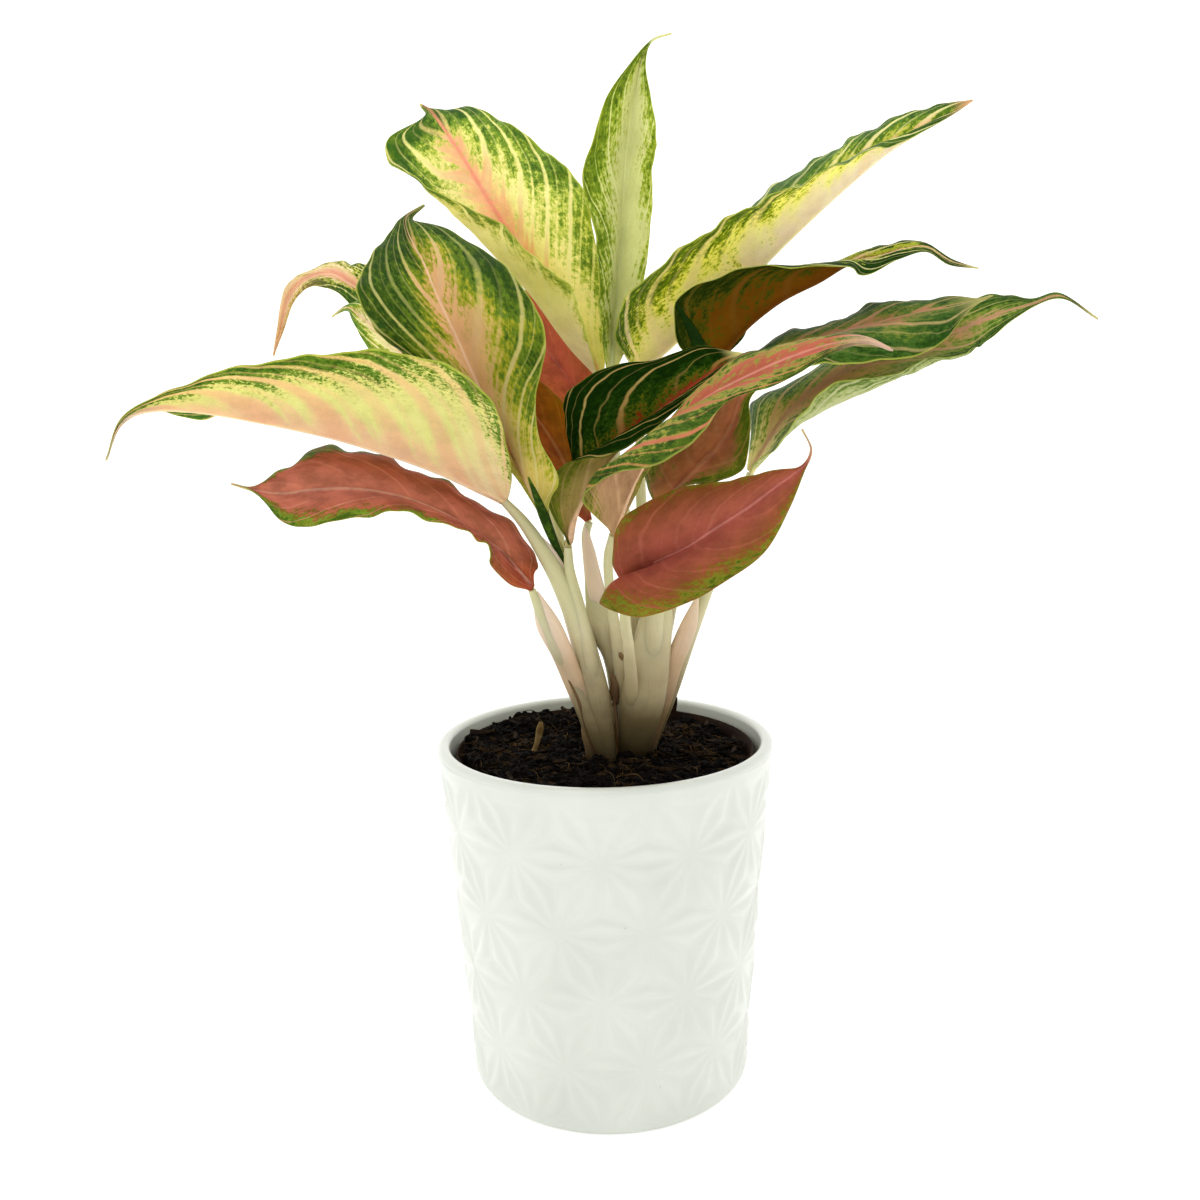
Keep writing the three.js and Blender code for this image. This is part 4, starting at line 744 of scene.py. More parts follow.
# Each pattern in a leaf is a noise: its scale per mm along and across, its detail, roughness and layer
leafGrain = {
    "flecks": (0.62, 0.85, 4.0, 0.72, 0.0), "streaks": (0.24, 0.12, 3.0, 0.6, 4.0),
    "patches": (0.055, 0.06, 2.0, 0.5, 5.0), "blur": (0.3, 0.3, 3.0, 0.6, 9.0),
    "darkness": (0.3, 0.4, 4.0, 0.7, 3.0), "tone": (2.2, 2.2, 2.0, 0.6, 7.0),
    "cloud": (0.1, 0.13, 5.0, 0.62, 8.0), "cells": (3.0, 3.0, 2.0, 0.6, 2.0),
}
veinsDrawn = {  # where a set of veins starts between two of the main ones, its breadth, blur and strength
    "main": (0.0, 1.0, 2.0, 1.0), "side": (0.43, 0.5, 1.4, 0.35),
}

# A look holds the colours of one face of a blade and how its flecks, veins and rib are laid. The amounts of
# speckle, streak and patch say how far each noise moves the edge of the green, greenFrom says how far out it
# starts at the left and at the right of the rib, tipGreen moves green from the foot to the tip, and wander
# sways the veins, in mm.
mottled = {
    "field": "#E2DC80", "blush": "#E8B083", "blushReach": 0.3, "light": "#A9B032", "green": "#35560F",
    "deep": "#1A3607", "vein": "#E9E0A0", "veinRib": "#EDBE96", "midrib": "#F2C8A4", "ribWidth": 1.9,
    "greenFrom": (0.35, 0.35), "greenGain": 1.2, "speckle": 1.9, "streak": 1.3, "fleck": 1.3,
    "veinGap": 27.0, "veinBand": 3.0, "veinShow": 0.85, "veinTaper": 0.5, "veinCut": 0.6, "patch": 1.1,
    "edge": "#A9B24A", "gloss": 0.5, "tipGreen": 0.15, "tipFrom": 0.93, "tip": "#D9CF86", "mottle": 0.1,
    "crown": 0.5, "foot": "#D9CC8C", "shine": 0.1, "glow": 0.2, "wander": 6,
}
underside = {**mottled, "green": "#47671C", "deep": "#2C4E10", "light": "#A9BC4C", "gloss": 0.56}
hiddenFace = {**mottled, "greenFrom": (0.3, 0.3)}  # on faces that never show from the photographed side
coral = {
    **mottled, "field": "#93442F", "blush": "#A45044", "blushReach": 0.5, "light": "#70521E",
    "green": "#4C5E12", "deep": "#33480C", "vein": "#BC6A58", "veinRib": "#C77462", "midrib": "#CB7C6C",
    "ribWidth": 2.0, "greenFrom": (1.15, 1.15), "greenGain": 2.2, "veinBand": 1.6, "veinShow": 0.45,
    "veinGap": 19.0, "veinCut": 0.2, "patch": 1.6, "edge": "#7A4628", "gloss": 0.46, "tipGreen": 0.0,
    "tip": "#C9B080", "mottle": 0.26, "crown": 0.0, "foot": "#9A4632", "shine": 0.04,
}
blades = {
    "blade_left_long": {
        "rib": [(504, 501, -25), (484, 495, -30), (440, 478, -37), (392, 462, -42), (330, 443, -46),
            (262, 427, -48), (198, 414, -50), (148, 412, -52), (121, 426, -53), (106, 460, -54)],
        "left": [(509, 497, -26), (511, 471, -36), (498, 414, -48), (461, 372, -54), (385, 351, -56),
            (300, 357, -56), (222, 371, -54), (160, 395, -53), (121, 418, -53), (106, 459, -54)],
        "right": [(508, 499, -22), (500, 470, -10), (462, 430, -2), (420, 405, -2), (355, 395, -6),
            (283, 392, -16), (205, 418, -28), (152, 411, -42), (122, 422, -50), (107, 461, -53)],
        "upper": hiddenFace,
        "under": {**underside, "glow": 0.5, "field": "#E0DC8C", "blush": "#EBBE94", "blushReach": 0.17,
            "green": "#547A26", "deep": "#1B400E", "light": "#D0CE7A", "fleck": 1.0, "speckle": 2.7,
            "streak": 1.0, "vein": "#E8B48A", "veinRib": "#E4A886", "midrib": "#F3D0AC",
            "greenFrom": (0.62, 0.66), "greenGain": 1.8, "tipGreen": 1.2, "foot": "#ECCDA2", "veinBand": 8.0,
            "veinShow": 0.9, "veinCut": 0.55, "veinTaper": 0.75},
        "cup": (5, 5), "slot": "leaf_cream", "ripple": 0.6, "sweep": 0.45,
    },
    "blade_left_broad": {
        "rib": [(562, 553, -13), (552, 533, -15.5), (543, 511, -18), (526, 480, -21), (502, 431, -21),
            (480, 388, -21), (457, 337, -19), (438, 298, -15), (424, 265, -9), (409, 236, -1), (407, 217, 4),
            (424, 205, 8)],
        "left": [(558, 553, -13), (546, 528, -18), (530, 499, -23), (508, 468, -26), (460, 415, -24),
            (404, 357, -22), (370, 322, -20), (357, 285, -16), (372, 256, -10), (392, 229, -2),
            (403, 217, 4), (423, 205, 8)],
        "right": [(565, 550, -12), (554, 529, -16), (549, 505, -34), (559, 478, -47), (540, 440, -35),
            (536, 395, -28), (546, 342, -28), (528, 294, -24), (488, 253, -14), (440, 227, -4),
            (413, 220, 4), (425, 206, 8)],
        "upper": {**mottled, "greenFrom": (0.3, 0.66), "field": "#C2AC58", "blush": "#E0AA7A",
            "blushReach": 0.36, "tipGreen": 1.9, "light": "#9C9C22", "green": "#58741A", "deep": "#223E0A",
            "tip": "#7A8440", "tipFrom": 0.95, "vein": "#C2BC7A", "veinRib": "#D8AE84", "midrib": "#EDC4A0",
            "veinGap": 30.0, "veinBand": 3.8, "veinShow": 0.72, "foot": "#7C8632"},
        "under": underside,
        "rolls": [[(528, 477, -37.2, 0.3), (536, 495, -37.8, 1.3), (544, 516, -29, 2), (553, 539, -19, 1.7),
            (562, 558, -16.5, 1), (570, 576, -15.6, 0.3)]],
        "cup": (5, 5), "slot": "leaf_green", "ripple": 0.6, "sweep": 0.5,
    },
    "blade_upper_left": {
        "rib": [(600, 377, 6), (584, 350, 12), (556, 306, 18), (530, 264, 24), (508, 229, 30),
            (485, 191, 36), (464, 156, 42), (446, 130, 48), (434, 114, 52), (428, 109, 54), (420, 104, 57)],
        "left": [(597, 373, 4), (585, 330, -8), (570, 287, -12), (533, 257, -8), (503, 225, 4),
            (468, 208, 18), (418, 180, 30), (389, 161, 37), (389, 138, 44), (424, 118, 53), (420, 106, 57)],
        "leftFold": [(594, 374, 8), (566, 343, 6), (533, 297, 10), (500, 262, 16), (473, 234, 24),
            (447, 207, 30), (432, 184, 38), (416, 151, 44), (412, 131, 48), (427, 113, 53.5),
            (420, 105, 57)],
        "right": [(604, 374, 7), (606, 340, 9), (602, 285, 12), (594, 235, 15), (582, 187, 20),
            (552, 156, 28), (512, 126, 36), (477, 109, 46), (448, 110, 54), (431, 109, 55), (421, 104, 57)],
        "upper": {**mottled, "glow": 0.4, "field": "#FBEC9C", "blush": "#FAB28C", "blushReach": 0.16,
            "green": "#64862A", "deep": "#264E16", "light": "#BCC658", "greenFrom": (0.74, 0.64),
            "speckle": 2.3, "vein": "#F3E8A0", "veinRib": "#F6C49A", "midrib": "#F29A80", "ribWidth": 2.6,
            "tipGreen": 1.2, "tipFrom": 0.985, "veinGap": 28.0, "veinBand": 3.6, "veinShow": 0.72,
            "crown": 1.0, "foot": "#DAD47C"},
        "under": {**underside, "field": "#DCD47C", "blush": "#E9D9A0", "foot": "#E4C998",
            "greenFrom": (0.93, 0.8), "greenGain": 4.2, "green": "#50701A", "glow": 0.5, "deep": "#33560F",
            "light": "#B2B450", "vein": "#DAD68C", "veinShow": 0.4, "tipGreen": 0.8},
        "cup": (3, 5), "slot": "leaf_green", "ripple": 0.7, "sweep": 0.45,
    },
    "blade_top": {
        "rib": [(610, 377, 1), (611, 340, 9), (615, 285, 16), (620, 225, 19), (626, 165, 18), (631, 120, 15),
            (637, 85, 12), (642, 58, 9), (652, 41, 4), (671, 33, 0)],
        "left": [(607, 374, 0), (603, 345, -1), (599, 300, -2), (596, 240, 0), (582, 180, 3), (592, 143, 4),
            (606, 98, 4), (631, 62, 6), (651, 40, 4), (671, 33, 0)],
        "right": [(614, 375, 2), (630, 338, 9), (643, 286, 10), (651, 222, 8), (653, 163, 3), (657, 136, 0),
            (650, 95, 2), (646, 60, 6), (653, 41, 4), (672, 34, 0)],
        "upper": {**mottled, "glow": 0.35, "field": "#CDCF90", "blush": "#D3D6A2", "light": "#9DAC3E",
            "green": "#5E7A1C", "deep": "#34520F", "vein": "#DADF9C", "veinRib": "#DCE2A8",
            "midrib": "#DEE4AE", "greenFrom": (0.68, 0.97), "greenGain": 1.6, "veinShow": 0.3,
            "veinBand": 2.0, "tipGreen": 0.7, "ribWidth": 1.6, "foot": "#B4B36C", "speckle": 2.5,
            "streak": 1.6},
        "under": {**underside, "field": "#C6CA7C", "blush": "#CFD490"},
        "cup": (4, 4), "slot": "leaf_pale", "ripple": 0.6, "sweep": 0.5, "soften": 14,
    },
    "blade_upper_right": {
        "rib": [(640, 373, 14), (668, 352, 16), (705, 322, 18), (745, 290, 20), (792, 243, 22),
            (842, 195, 24), (887, 156, 26), (928, 129, 28), (953, 112, 30), (972, 100, 32)],
        "left": [(636, 371, 16), (650, 325, 34), (680, 270, 42), (722, 232, 46), (772, 188, 46),
            (828, 153, 42), (870, 129, 38), (920, 109, 34), (950, 103, 32), (972, 100, 32)],
        "right": [(637, 375, 12), (616, 335, -3), (629, 295, -9), (683, 248, -10), (745, 209, -4),
            (806, 181, 2), (862, 154, 12), (905, 141, 22), (946, 119, 28), (973, 101, 32)],
        "upper": {**mottled, "green": "#52761E", "deep": "#2A4E12", "light": "#AEB63C",
            "greenFrom": (0.4, 0.4), "veinBand": 3.8, "tip": "#E2A880"},
        # Its underside is pale cream, with field and blush pushed near full brightness as painted light
        # coming through the leaf
        "under": {**underside, "glow": 0.7, "field": "#FFF07C", "blush": "#FFE4C4", "green": "#587412",
            "deep": "#2E4E0A", "light": "#B4BA34", "vein": "#F5D6A8", "veinRib": "#F3D0B0",
            "midrib": "#F5E0C4", "greenFrom": (0.6, 0.63), "greenGain": 1.9, "tipGreen": -0.4,
            "veinGap": 26.0, "veinBand": 6.0, "speckle": 3.4, "streak": 2.4, "veinTaper": 0.7},
        "cup": (5, 5), "slot": "leaf_cream", "ripple": 0.8, "sweep": 0.24,
    },
    "blade_right_twisted": {
        "rib": [(713, 366, 2), (727, 353, 6), (752, 328, 8), (785, 302, 9), (820, 283, 9), (848, 265, 8),
            (878, 258, 8), (905, 250, 8), (927, 248, 8), (951, 262, 8), (978, 268, 8)],
        "left": [(716, 364, 4), (745, 335, 26), (755, 300, 30), (785, 280, 28), (822, 268, 24),
            (855, 256, 20), (880, 246, 16), (904, 241, 12), (928, 244, 9), (952, 259, 8), (978, 268, 8)],
        "right": [(709, 364, 2), (679, 345, -12), (678, 300, -16), (730, 272, -16), (790, 266, -10),
            (846, 268, -6), (867, 275, -2), (898, 260, 2), (926, 252, 6), (949, 265, 7), (979, 269, 8)],
        "upper": {**mottled, "shine": 0.03, "field": "#7E8A3E", "blush": "#80602E", "green": "#24400F",
            "deep": "#16300A"},
        "under": {**underside, "shine": 0.0, "field": "#70430A", "blush": "#70400C", "blushReach": 0.4,
            "light": "#484A0E", "green": "#26350A", "deep": "#121F04", "vein": "#7D6830",
            "veinRib": "#7A5228", "midrib": "#7A4C1C", "greenFrom": (0.6, 0.62), "veinBand": 2.6,
            "veinShow": 0.28, "foot": "#6A3C08", "edge": "#3A3A10", "tipGreen": -0.2, "veinGap": 26.0},
        "rolls": [[(676, 302, -16.5, 0.3), (684, 319, -7.2, 1.7), (692, 335, -2.2, 2.9),
            (699, 350, 0.5, 3.8)]],
        "cup": (4, 5), "slot": "leaf_brown", "ripple": 0.6, "sweep": 0.4,
    },
    "blade_right_dark": {
        "rib": [(733, 378, -2), (757, 366, 0), (793, 351, 2), (832, 336, 4), (868, 326, 6), (905, 317, 8),
            (938, 309, 10), (965, 303, 11), (980, 300, 11), (992, 295, 11)],
        "left": [(737, 375, 0), (755, 353, 18), (790, 331, 24), (822, 327, 26), (850, 315, 26),
            (882, 301, 26), (915, 303, 24), (946, 296, 20), (975, 299, 14), (992, 295, 11)],
        "right": [(730, 380, -4), (765, 374, -16), (800, 366, -18), (836, 364, -18), (880, 361, -14),
            (921, 354, -8), (948, 337, -2), (964, 316, 4), (978, 304, 8), (993, 296, 11)],
        "upper": {**mottled, "shine": 0.03, "field": "#8C8448", "blush": "#A8744C", "blushReach": 0.2,
            "light": "#6C7C2C", "green": "#3E6024", "deep": "#1E3C10", "vein": "#BCA274",
            "veinRib": "#BC8A64", "midrib": "#B98A68", "ribWidth": 1.5, "greenFrom": (0.25, 0.32),
            "veinGap": 34.0, "veinShow": 0.62, "veinBand": 3.8, "wander": 14, "tip": "#B8B070",
            "tipFrom": 0.82},
        "under": {**underside, "field": "#644018", "blush": "#744822"},
        "cup": (3, 5), "slot": "leaf_dark", "ripple": 0.8, "sweep": 0.6,
    },
    "blade_right_low": {
        "rib": [(750, 472, 6), (766, 446, 10), (785, 418, 14), (808, 395, 17), (838, 374, 20),
            (878, 358, 22), (918, 346, 24), (957, 331, 25), (998, 314, 26), (1032, 304, 26), (1062, 296, 26),
            (1098, 319, 24)],
        "left": [(747, 470, 8), (751, 430, 28), (751, 402, 38), (777, 392, 42), (824, 366, 44),
            (862, 345, 42), (905, 325, 38), (950, 307, 32), (1000, 294, 29), (1031, 299, 27),
            (1060, 293, 26), (1098, 318, 24)],
        "right": [(750, 473, 4), (758, 461, -6), (783, 440, -10), (805, 408, -10), (840, 381, -8),
            (885, 377, -2), (925, 360, 4), (966, 353, 12), (992, 337, 20), (1031, 308, 25), (1063, 299, 26),
            (1098, 320, 24)],
        "rightFold": [(751, 474, 5), (768, 456, 0), (788, 432, 0), (815, 415, 2), (857, 396, 4),
            (905, 374, 8), (937, 361, 12), (970, 349, 17), (995, 326, 23), (1032, 306, 26), (1063, 298, 26),
            (1098, 320, 24)],
        "upper": {**mottled, "field": "#99A25A", "blush": "#B98C68", "blushReach": 0.2, "light": "#728A34",
            "green": "#3A5E1C", "deep": "#1C3C0C", "vein": "#B9A27A", "veinRib": "#BF977A",
            "midrib": "#BC9070", "ribWidth": 2.0, "greenFrom": (0.3, 0.35), "veinGap": 34.0, "wander": 12,
            "veinShow": 0.7},
        "under": {**underside, "field": "#AFB480", "blush": "#B8B488", "light": "#93A05C",
            "green": "#5C7434", "deep": "#466228", "greenFrom": (0.85, 0.85), "vein": "#BCBC90"},
        "cup": (4, 4), "slot": "leaf_green", "ripple": 0.9, "sweep": 0.6,
    },
    "blade_centre_dark": {
        "rib": [(568, 547, -22), (577, 515, -27), (600, 478, -32), (632, 441, -38), (662, 413, -42),
            (690, 390, -44), (717, 370, -46), (735, 359, -48), (743, 353, -50)],
        "left": [(564, 545, -22), (592, 458, -10), (568, 428, -14), (566, 397, -20), (598, 371, -26),
            (652, 360, -30), (695, 347, -36), (728, 351, -43), (742, 353, -50)],
        "right": [(570, 545, -24), (547, 500, -32), (563, 465, -44), (606, 456, -60), (648, 434, -56),
            (680, 407, -48), (716, 382, -51), (736, 362, -50), (744, 354, -50)],
        "upper": {**mottled, "shine": 0.0, "field": "#3E4A0C", "blush": "#7C2614", "blushReach": 0.6,
            "light": "#465410", "green": "#1D360A", "deep": "#0C2004", "wander": 22, "fleck": 0.9,
            "speckle": 2.6, "greenGain": 2.4, "veinShow": 0.75, "vein": "#B69A5C", "veinRib": "#A06A3C",
            "midrib": "#8E3626", "ribWidth": 2.6, "greenFrom": (0.16, 0.16), "veinGap": 35.0,
            "veinBand": 2.2, "veinTaper": 0.2, "veinCut": 0.3, "edge": "#4A5A1C"},
        "under": {**underside, "shine": 0.03, "field": "#86843A", "blush": "#A18C50", "blushReach": 0.5,
            "foot": "#8E7440", "light": "#767A26", "green": "#5A6A1C", "deep": "#465A12",
            "greenFrom": (0.85, 0.85), "vein": "#A89E62", "veinShow": 0.35, "tipGreen": -0.9, "mottle": 0.2},
        "cup": (6, 5), "slot": "leaf_dark", "ripple": 0.4, "sweep": 0.7,
    },
    "blade_centre_rolled": {
        "rib": [(613, 535, -32), (626, 503, -42), (646, 463, -54), (672, 430, -66), (704, 402, -76),
            (743, 380, -85), (790, 358, -92), (835, 344, -97), (867, 341, -100), (893, 350, -102)],
        "left": [(616, 533, -31), (638, 490, -32), (660, 450, -38), (689, 405, -56), (712, 379, -64),
            (745, 354, -72), (797, 343, -82), (838, 335, -90), (867, 338, -97), (892, 349, -102)],
        "right": [(610, 531, -35), (583, 499, -64), (615, 474, -82), (662, 463, -92), (703, 432, -98),
            (728, 401, -95), (787, 380, -98), (830, 354, -100), (865.5, 344, -102), (893, 351, -102)],
        "rightFold": [(611, 533, -34), (604, 475, -60), (620, 457, -74), (655, 430, -82), (692, 410, -90),
            (733, 393, -93), (785, 374, -97), (832, 350, -100), (866, 343, -102), (893, 351, -102)],
        "upper": {**mottled, "field": "#9C8A4A", "blush": "#A85440", "blushReach": 0.42, "light": "#8E903A",
            "green": "#3C5A14", "deep": "#18340A", "vein": "#BE6A54", "veinRib": "#B25C4A",
            "midrib": "#C88470", "greenFrom": (0.46, 0.46), "veinGap": 31.0, "veinBand": 4.8,
            "veinShow": 1.0, "speckle": 2.6, "fleck": 2.0, "streak": 0.9, "wander": 10, "edge": "#8C9440",
            "tip": "#ECC0A8", "tipFrom": 0.86},
        "under": {**underside, "shine": 0.03, "field": "#8A6440", "blush": "#A8805E", "foot": "#B48E68",
            "veinShow": 0.35, "mottle": 0.2, "green": "#56641C", "deep": "#465614", "light": "#8C8238",
            "greenFrom": (0.95, 0.95), "vein": "#C2A07A"},
        "cup": (5, 3), "slot": "leaf_coral", "ripple": 0.5, "sweep": 0.5,
    },
    "blade_centre_brown": {
        "rib": [(661, 510, -20), (678, 490, -27), (700, 467, -38), (721, 446, -46), (735, 422, -52),
            (741, 401, -57), (757, 386, -60), (778, 375, -62)],
        "left": [(665, 508, -20), (683, 487, -30), (716, 482, -42), (744, 468, -52), (750, 432, -58),
            (749, 404, -60), (759, 388, -60), (778, 376, -62)],
        "right": [(657, 508, -20), (645, 478, -12), (652, 440, -13), (682, 415, -24), (710, 398, -36),
            (732, 388, -50), (754, 382, -59), (777, 374, -62)],
        "upper": hiddenFace,
        "under": {**coral, "field": "#866440", "blush": "#9C5C40", "light": "#6C6824", "green": "#4A5C16",
            "deep": "#2E4208", "vein": "#A87C58", "veinRib": "#A66E50", "midrib": "#A97250",
            "greenFrom": (0.6, 0.75), "greenGain": 1.6, "speckle": 1.8, "foot": "#9A6440"},
        "cup": (-3, -4), "slot": "leaf_brown", "ripple": 0.6, "sweep": 0.4,
    },
    "blade_front_coral": {
        "rib": [(628, 590, -44), (644, 574, -54), (667, 560, -64), (692, 547, -74), (720, 528, -84),
            (750, 508, -93), (780, 485, -101), (803, 467, -108), (811, 450, -112), (802, 429, -113)],
        "left": [(631, 592, -44), (600, 603, -68), (637, 617, -80), (683, 605, -88), (728, 580, -95),
            (765, 552, -100), (789, 510, -104), (804, 473, -108), (812, 450, -112), (802, 429, -113)],
        "right": [(625, 588, -44), (613, 562, -50), (618, 526, -58), (648, 501, -67), (695, 485, -78),
            (740, 479, -89), (772, 470, -99), (799, 467, -107), (810, 450, -112), (801, 429, -113)],
        "upper": hiddenFace,
        "under": {**coral, "field": "#82402C", "blush": "#984C40", "light": "#74501C", "vein": "#A25848",
            "veinRib": "#A86052", "midrib": "#B87064", "green": "#686E20", "deep": "#2C430A",
            "veinShow": 0.6, "greenFrom": (0.86, 1.02), "greenGain": 3.0, "speckle": 2.8, "streak": 1.6,
            "patch": 1.2, "mottle": 0.2, "tip": "#C8B48A", "tipFrom": 0.88, "wander": 10},
        "cup": (-5, -5), "slot": "leaf_coral", "ripple": 0.5, "sweep": 0.4,
    },
    "blade_left_coral": {
        "rib": [(532, 590, -22), (519, 574, -23), (502, 555, -27), (480, 540, -31), (448, 519, -34),
            (405, 501, -38), (358, 492, -42), (315, 492, -46), (280, 495, -50), (249, 490, -52),
            (231, 484, -54)],
        "left": [(534, 588, -22), (534, 572, -17), (537, 556, -14), (512, 526, -15), (466, 494, -16),
            (415, 470, -14), (365, 452, -16), (322, 448, -22), (287, 466, -37), (256, 486, -50),
            (231, 483, -54)],
        "right": [(529, 590, -23), (509, 584, -30), (489, 561, -40), (487, 544, -42), (461, 531, -44),
            (408, 513, -50), (360, 517, -54), (312, 526, -56), (285, 523, -56), (256, 494, -53.5),
            (232, 485, -54)],
        "upper": hiddenFace,
        "under": {**coral, "field": "#A65646", "blush": "#B26658", "vein": "#C88474", "veinShow": 0.6,
            "veinGap": 23.0, "green": "#66822A", "deep": "#34541A", "greenFrom": (0.98, 0.9),
            "greenGain": 2.6, "speckle": 2.8, "patch": 3.4, "tipGreen": 1.7, "foot": "#9C452E",
            "midrib": "#C08E78", "edge": "#7E6A30", "mottle": 0.3},
        "cup": (-4, -4), "slot": "leaf_coral", "ripple": 1.1, "sweep": 0.4,
    },
    "blade_back_drooping": {
        "rib": [(455, 378, 57), (430, 350, 62), (400, 322, 70), (374, 303, 78), (350, 285, 84),
            (329, 275, 90), (304, 281, 95), (288, 300, 97), (281, 329, 98), (274, 356, 98)],
        "left": [(452, 380, 56), (412, 368, 54), (382, 345, 62), (362, 322, 70), (342, 296, 78),
            (322, 287, 85), (306, 289, 92), (293, 304, 96), (284, 330, 97), (274, 355, 97)],
        "right": [(458, 376, 58), (440, 325, 74), (412, 292, 84), (386, 272, 90), (357, 264, 92),
            (337, 262, 95), (300, 274, 97), (283, 294, 98), (277, 330, 98), (273, 355, 98)],
        "upper": {**mottled, "field": "#F0D8AC", "blush": "#E49A84", "greenFrom": (0.3, 0.55),
            "green": "#2F5614", "tip": "#C88E68", "tipFrom": 0.5, "tipGreen": -2.2, "speckle": 2.8},
        "under": {**underside, "field": "#B08052", "blush": "#BC8260", "greenFrom": (1.3, 1.3),
            "vein": "#B98A60"},
        "cup": (5, 5), "slot": "leaf_coral", "ripple": 0.8, "sweep": 0.4,
    },
    "blade_back_pale": {
        "rib": [(480, 425, 27), (448, 398, 32), (418, 368, 40), (388, 340, 49), (362, 319, 56),
            (347, 308, 59), (332, 317, 61)],
        "left": [(477, 427, 26), (437, 418, 26), (398, 385, 34), (370, 351, 44), (353, 322, 53),
            (347, 311, 58), (332, 317, 61)],
        "right": [(483, 423, 28), (462, 372, 42), (436, 335, 52), (402, 312, 58), (371, 300, 62),
            (349, 304, 61), (332, 316, 61)],
        "upper": {**mottled, "field": "#F6EFA8", "blush": "#F5E2B0", "greenFrom": (0.6, 0.6),
            "green": "#5C8426", "deep": "#3E6A1A"},
        "under": underside,
        "cup": (4, 4), "slot": "leaf_cream", "ripple": 0.9, "sweep": 0.4,
    },
    "blade_back_red": {
        "rib": [(602, 455, 22), (588, 415, 34), (560, 367, 48), (530, 333, 62), (500, 310, 74),
            (468, 293, 83), (440, 285, 90)],
        "left": [(606, 452, 22), (604, 390, 32), (585, 330, 46), (553, 298, 58), (510, 288, 70),
            (474, 283, 82), (440, 285, 90)],
        "right": [(599, 457, 22), (566, 408, 34), (536, 385, 45), (502, 358, 56), (470, 330, 68),
            (448, 305, 78), (439, 286, 90)],
        "upper": hiddenFace,
        "under": {**coral, "field": "#AC483A", "blush": "#B65446", "vein": "#BE6654", "veinRib": "#B4604E",
            "midrib": "#B86656", "greenFrom": (1.6, 1.6)},
        "cup": (-4, -4), "slot": "leaf_red", "ripple": 0.5, "sweep": 0.4,
    },
    "blade_back_orange": {
        "rib": [(589, 522, -2), (572, 482, 8), (553, 445, 18), (532, 412, 28), (508, 380, 37),
            (482, 354, 45), (450, 332, 54)],
        "left": [(592, 520, -2), (580, 470, 14), (578, 440, 22), (564, 405, 25), (532, 374, 32),
            (498, 352, 42), (450, 332, 54)],
        "right": [(586, 522, -2), (545, 490, 2), (515, 455, 10), (488, 420, 20), (462, 385, 30),
            (450, 355, 40), (450, 334, 54)],
        "upper": hiddenFace,
        "under": {**coral, "field": "#804008", "blush": "#8A4212", "light": "#6A4A0E", "green": "#4E4A0E",
            "vein": "#94581E", "veinRib": "#9C5E28", "midrib": "#A2683A", "greenFrom": (1.2, 1.2)},
        "cup": (-4, -4), "slot": "leaf_brown", "ripple": 0.5, "sweep": 0.4,
    },
}


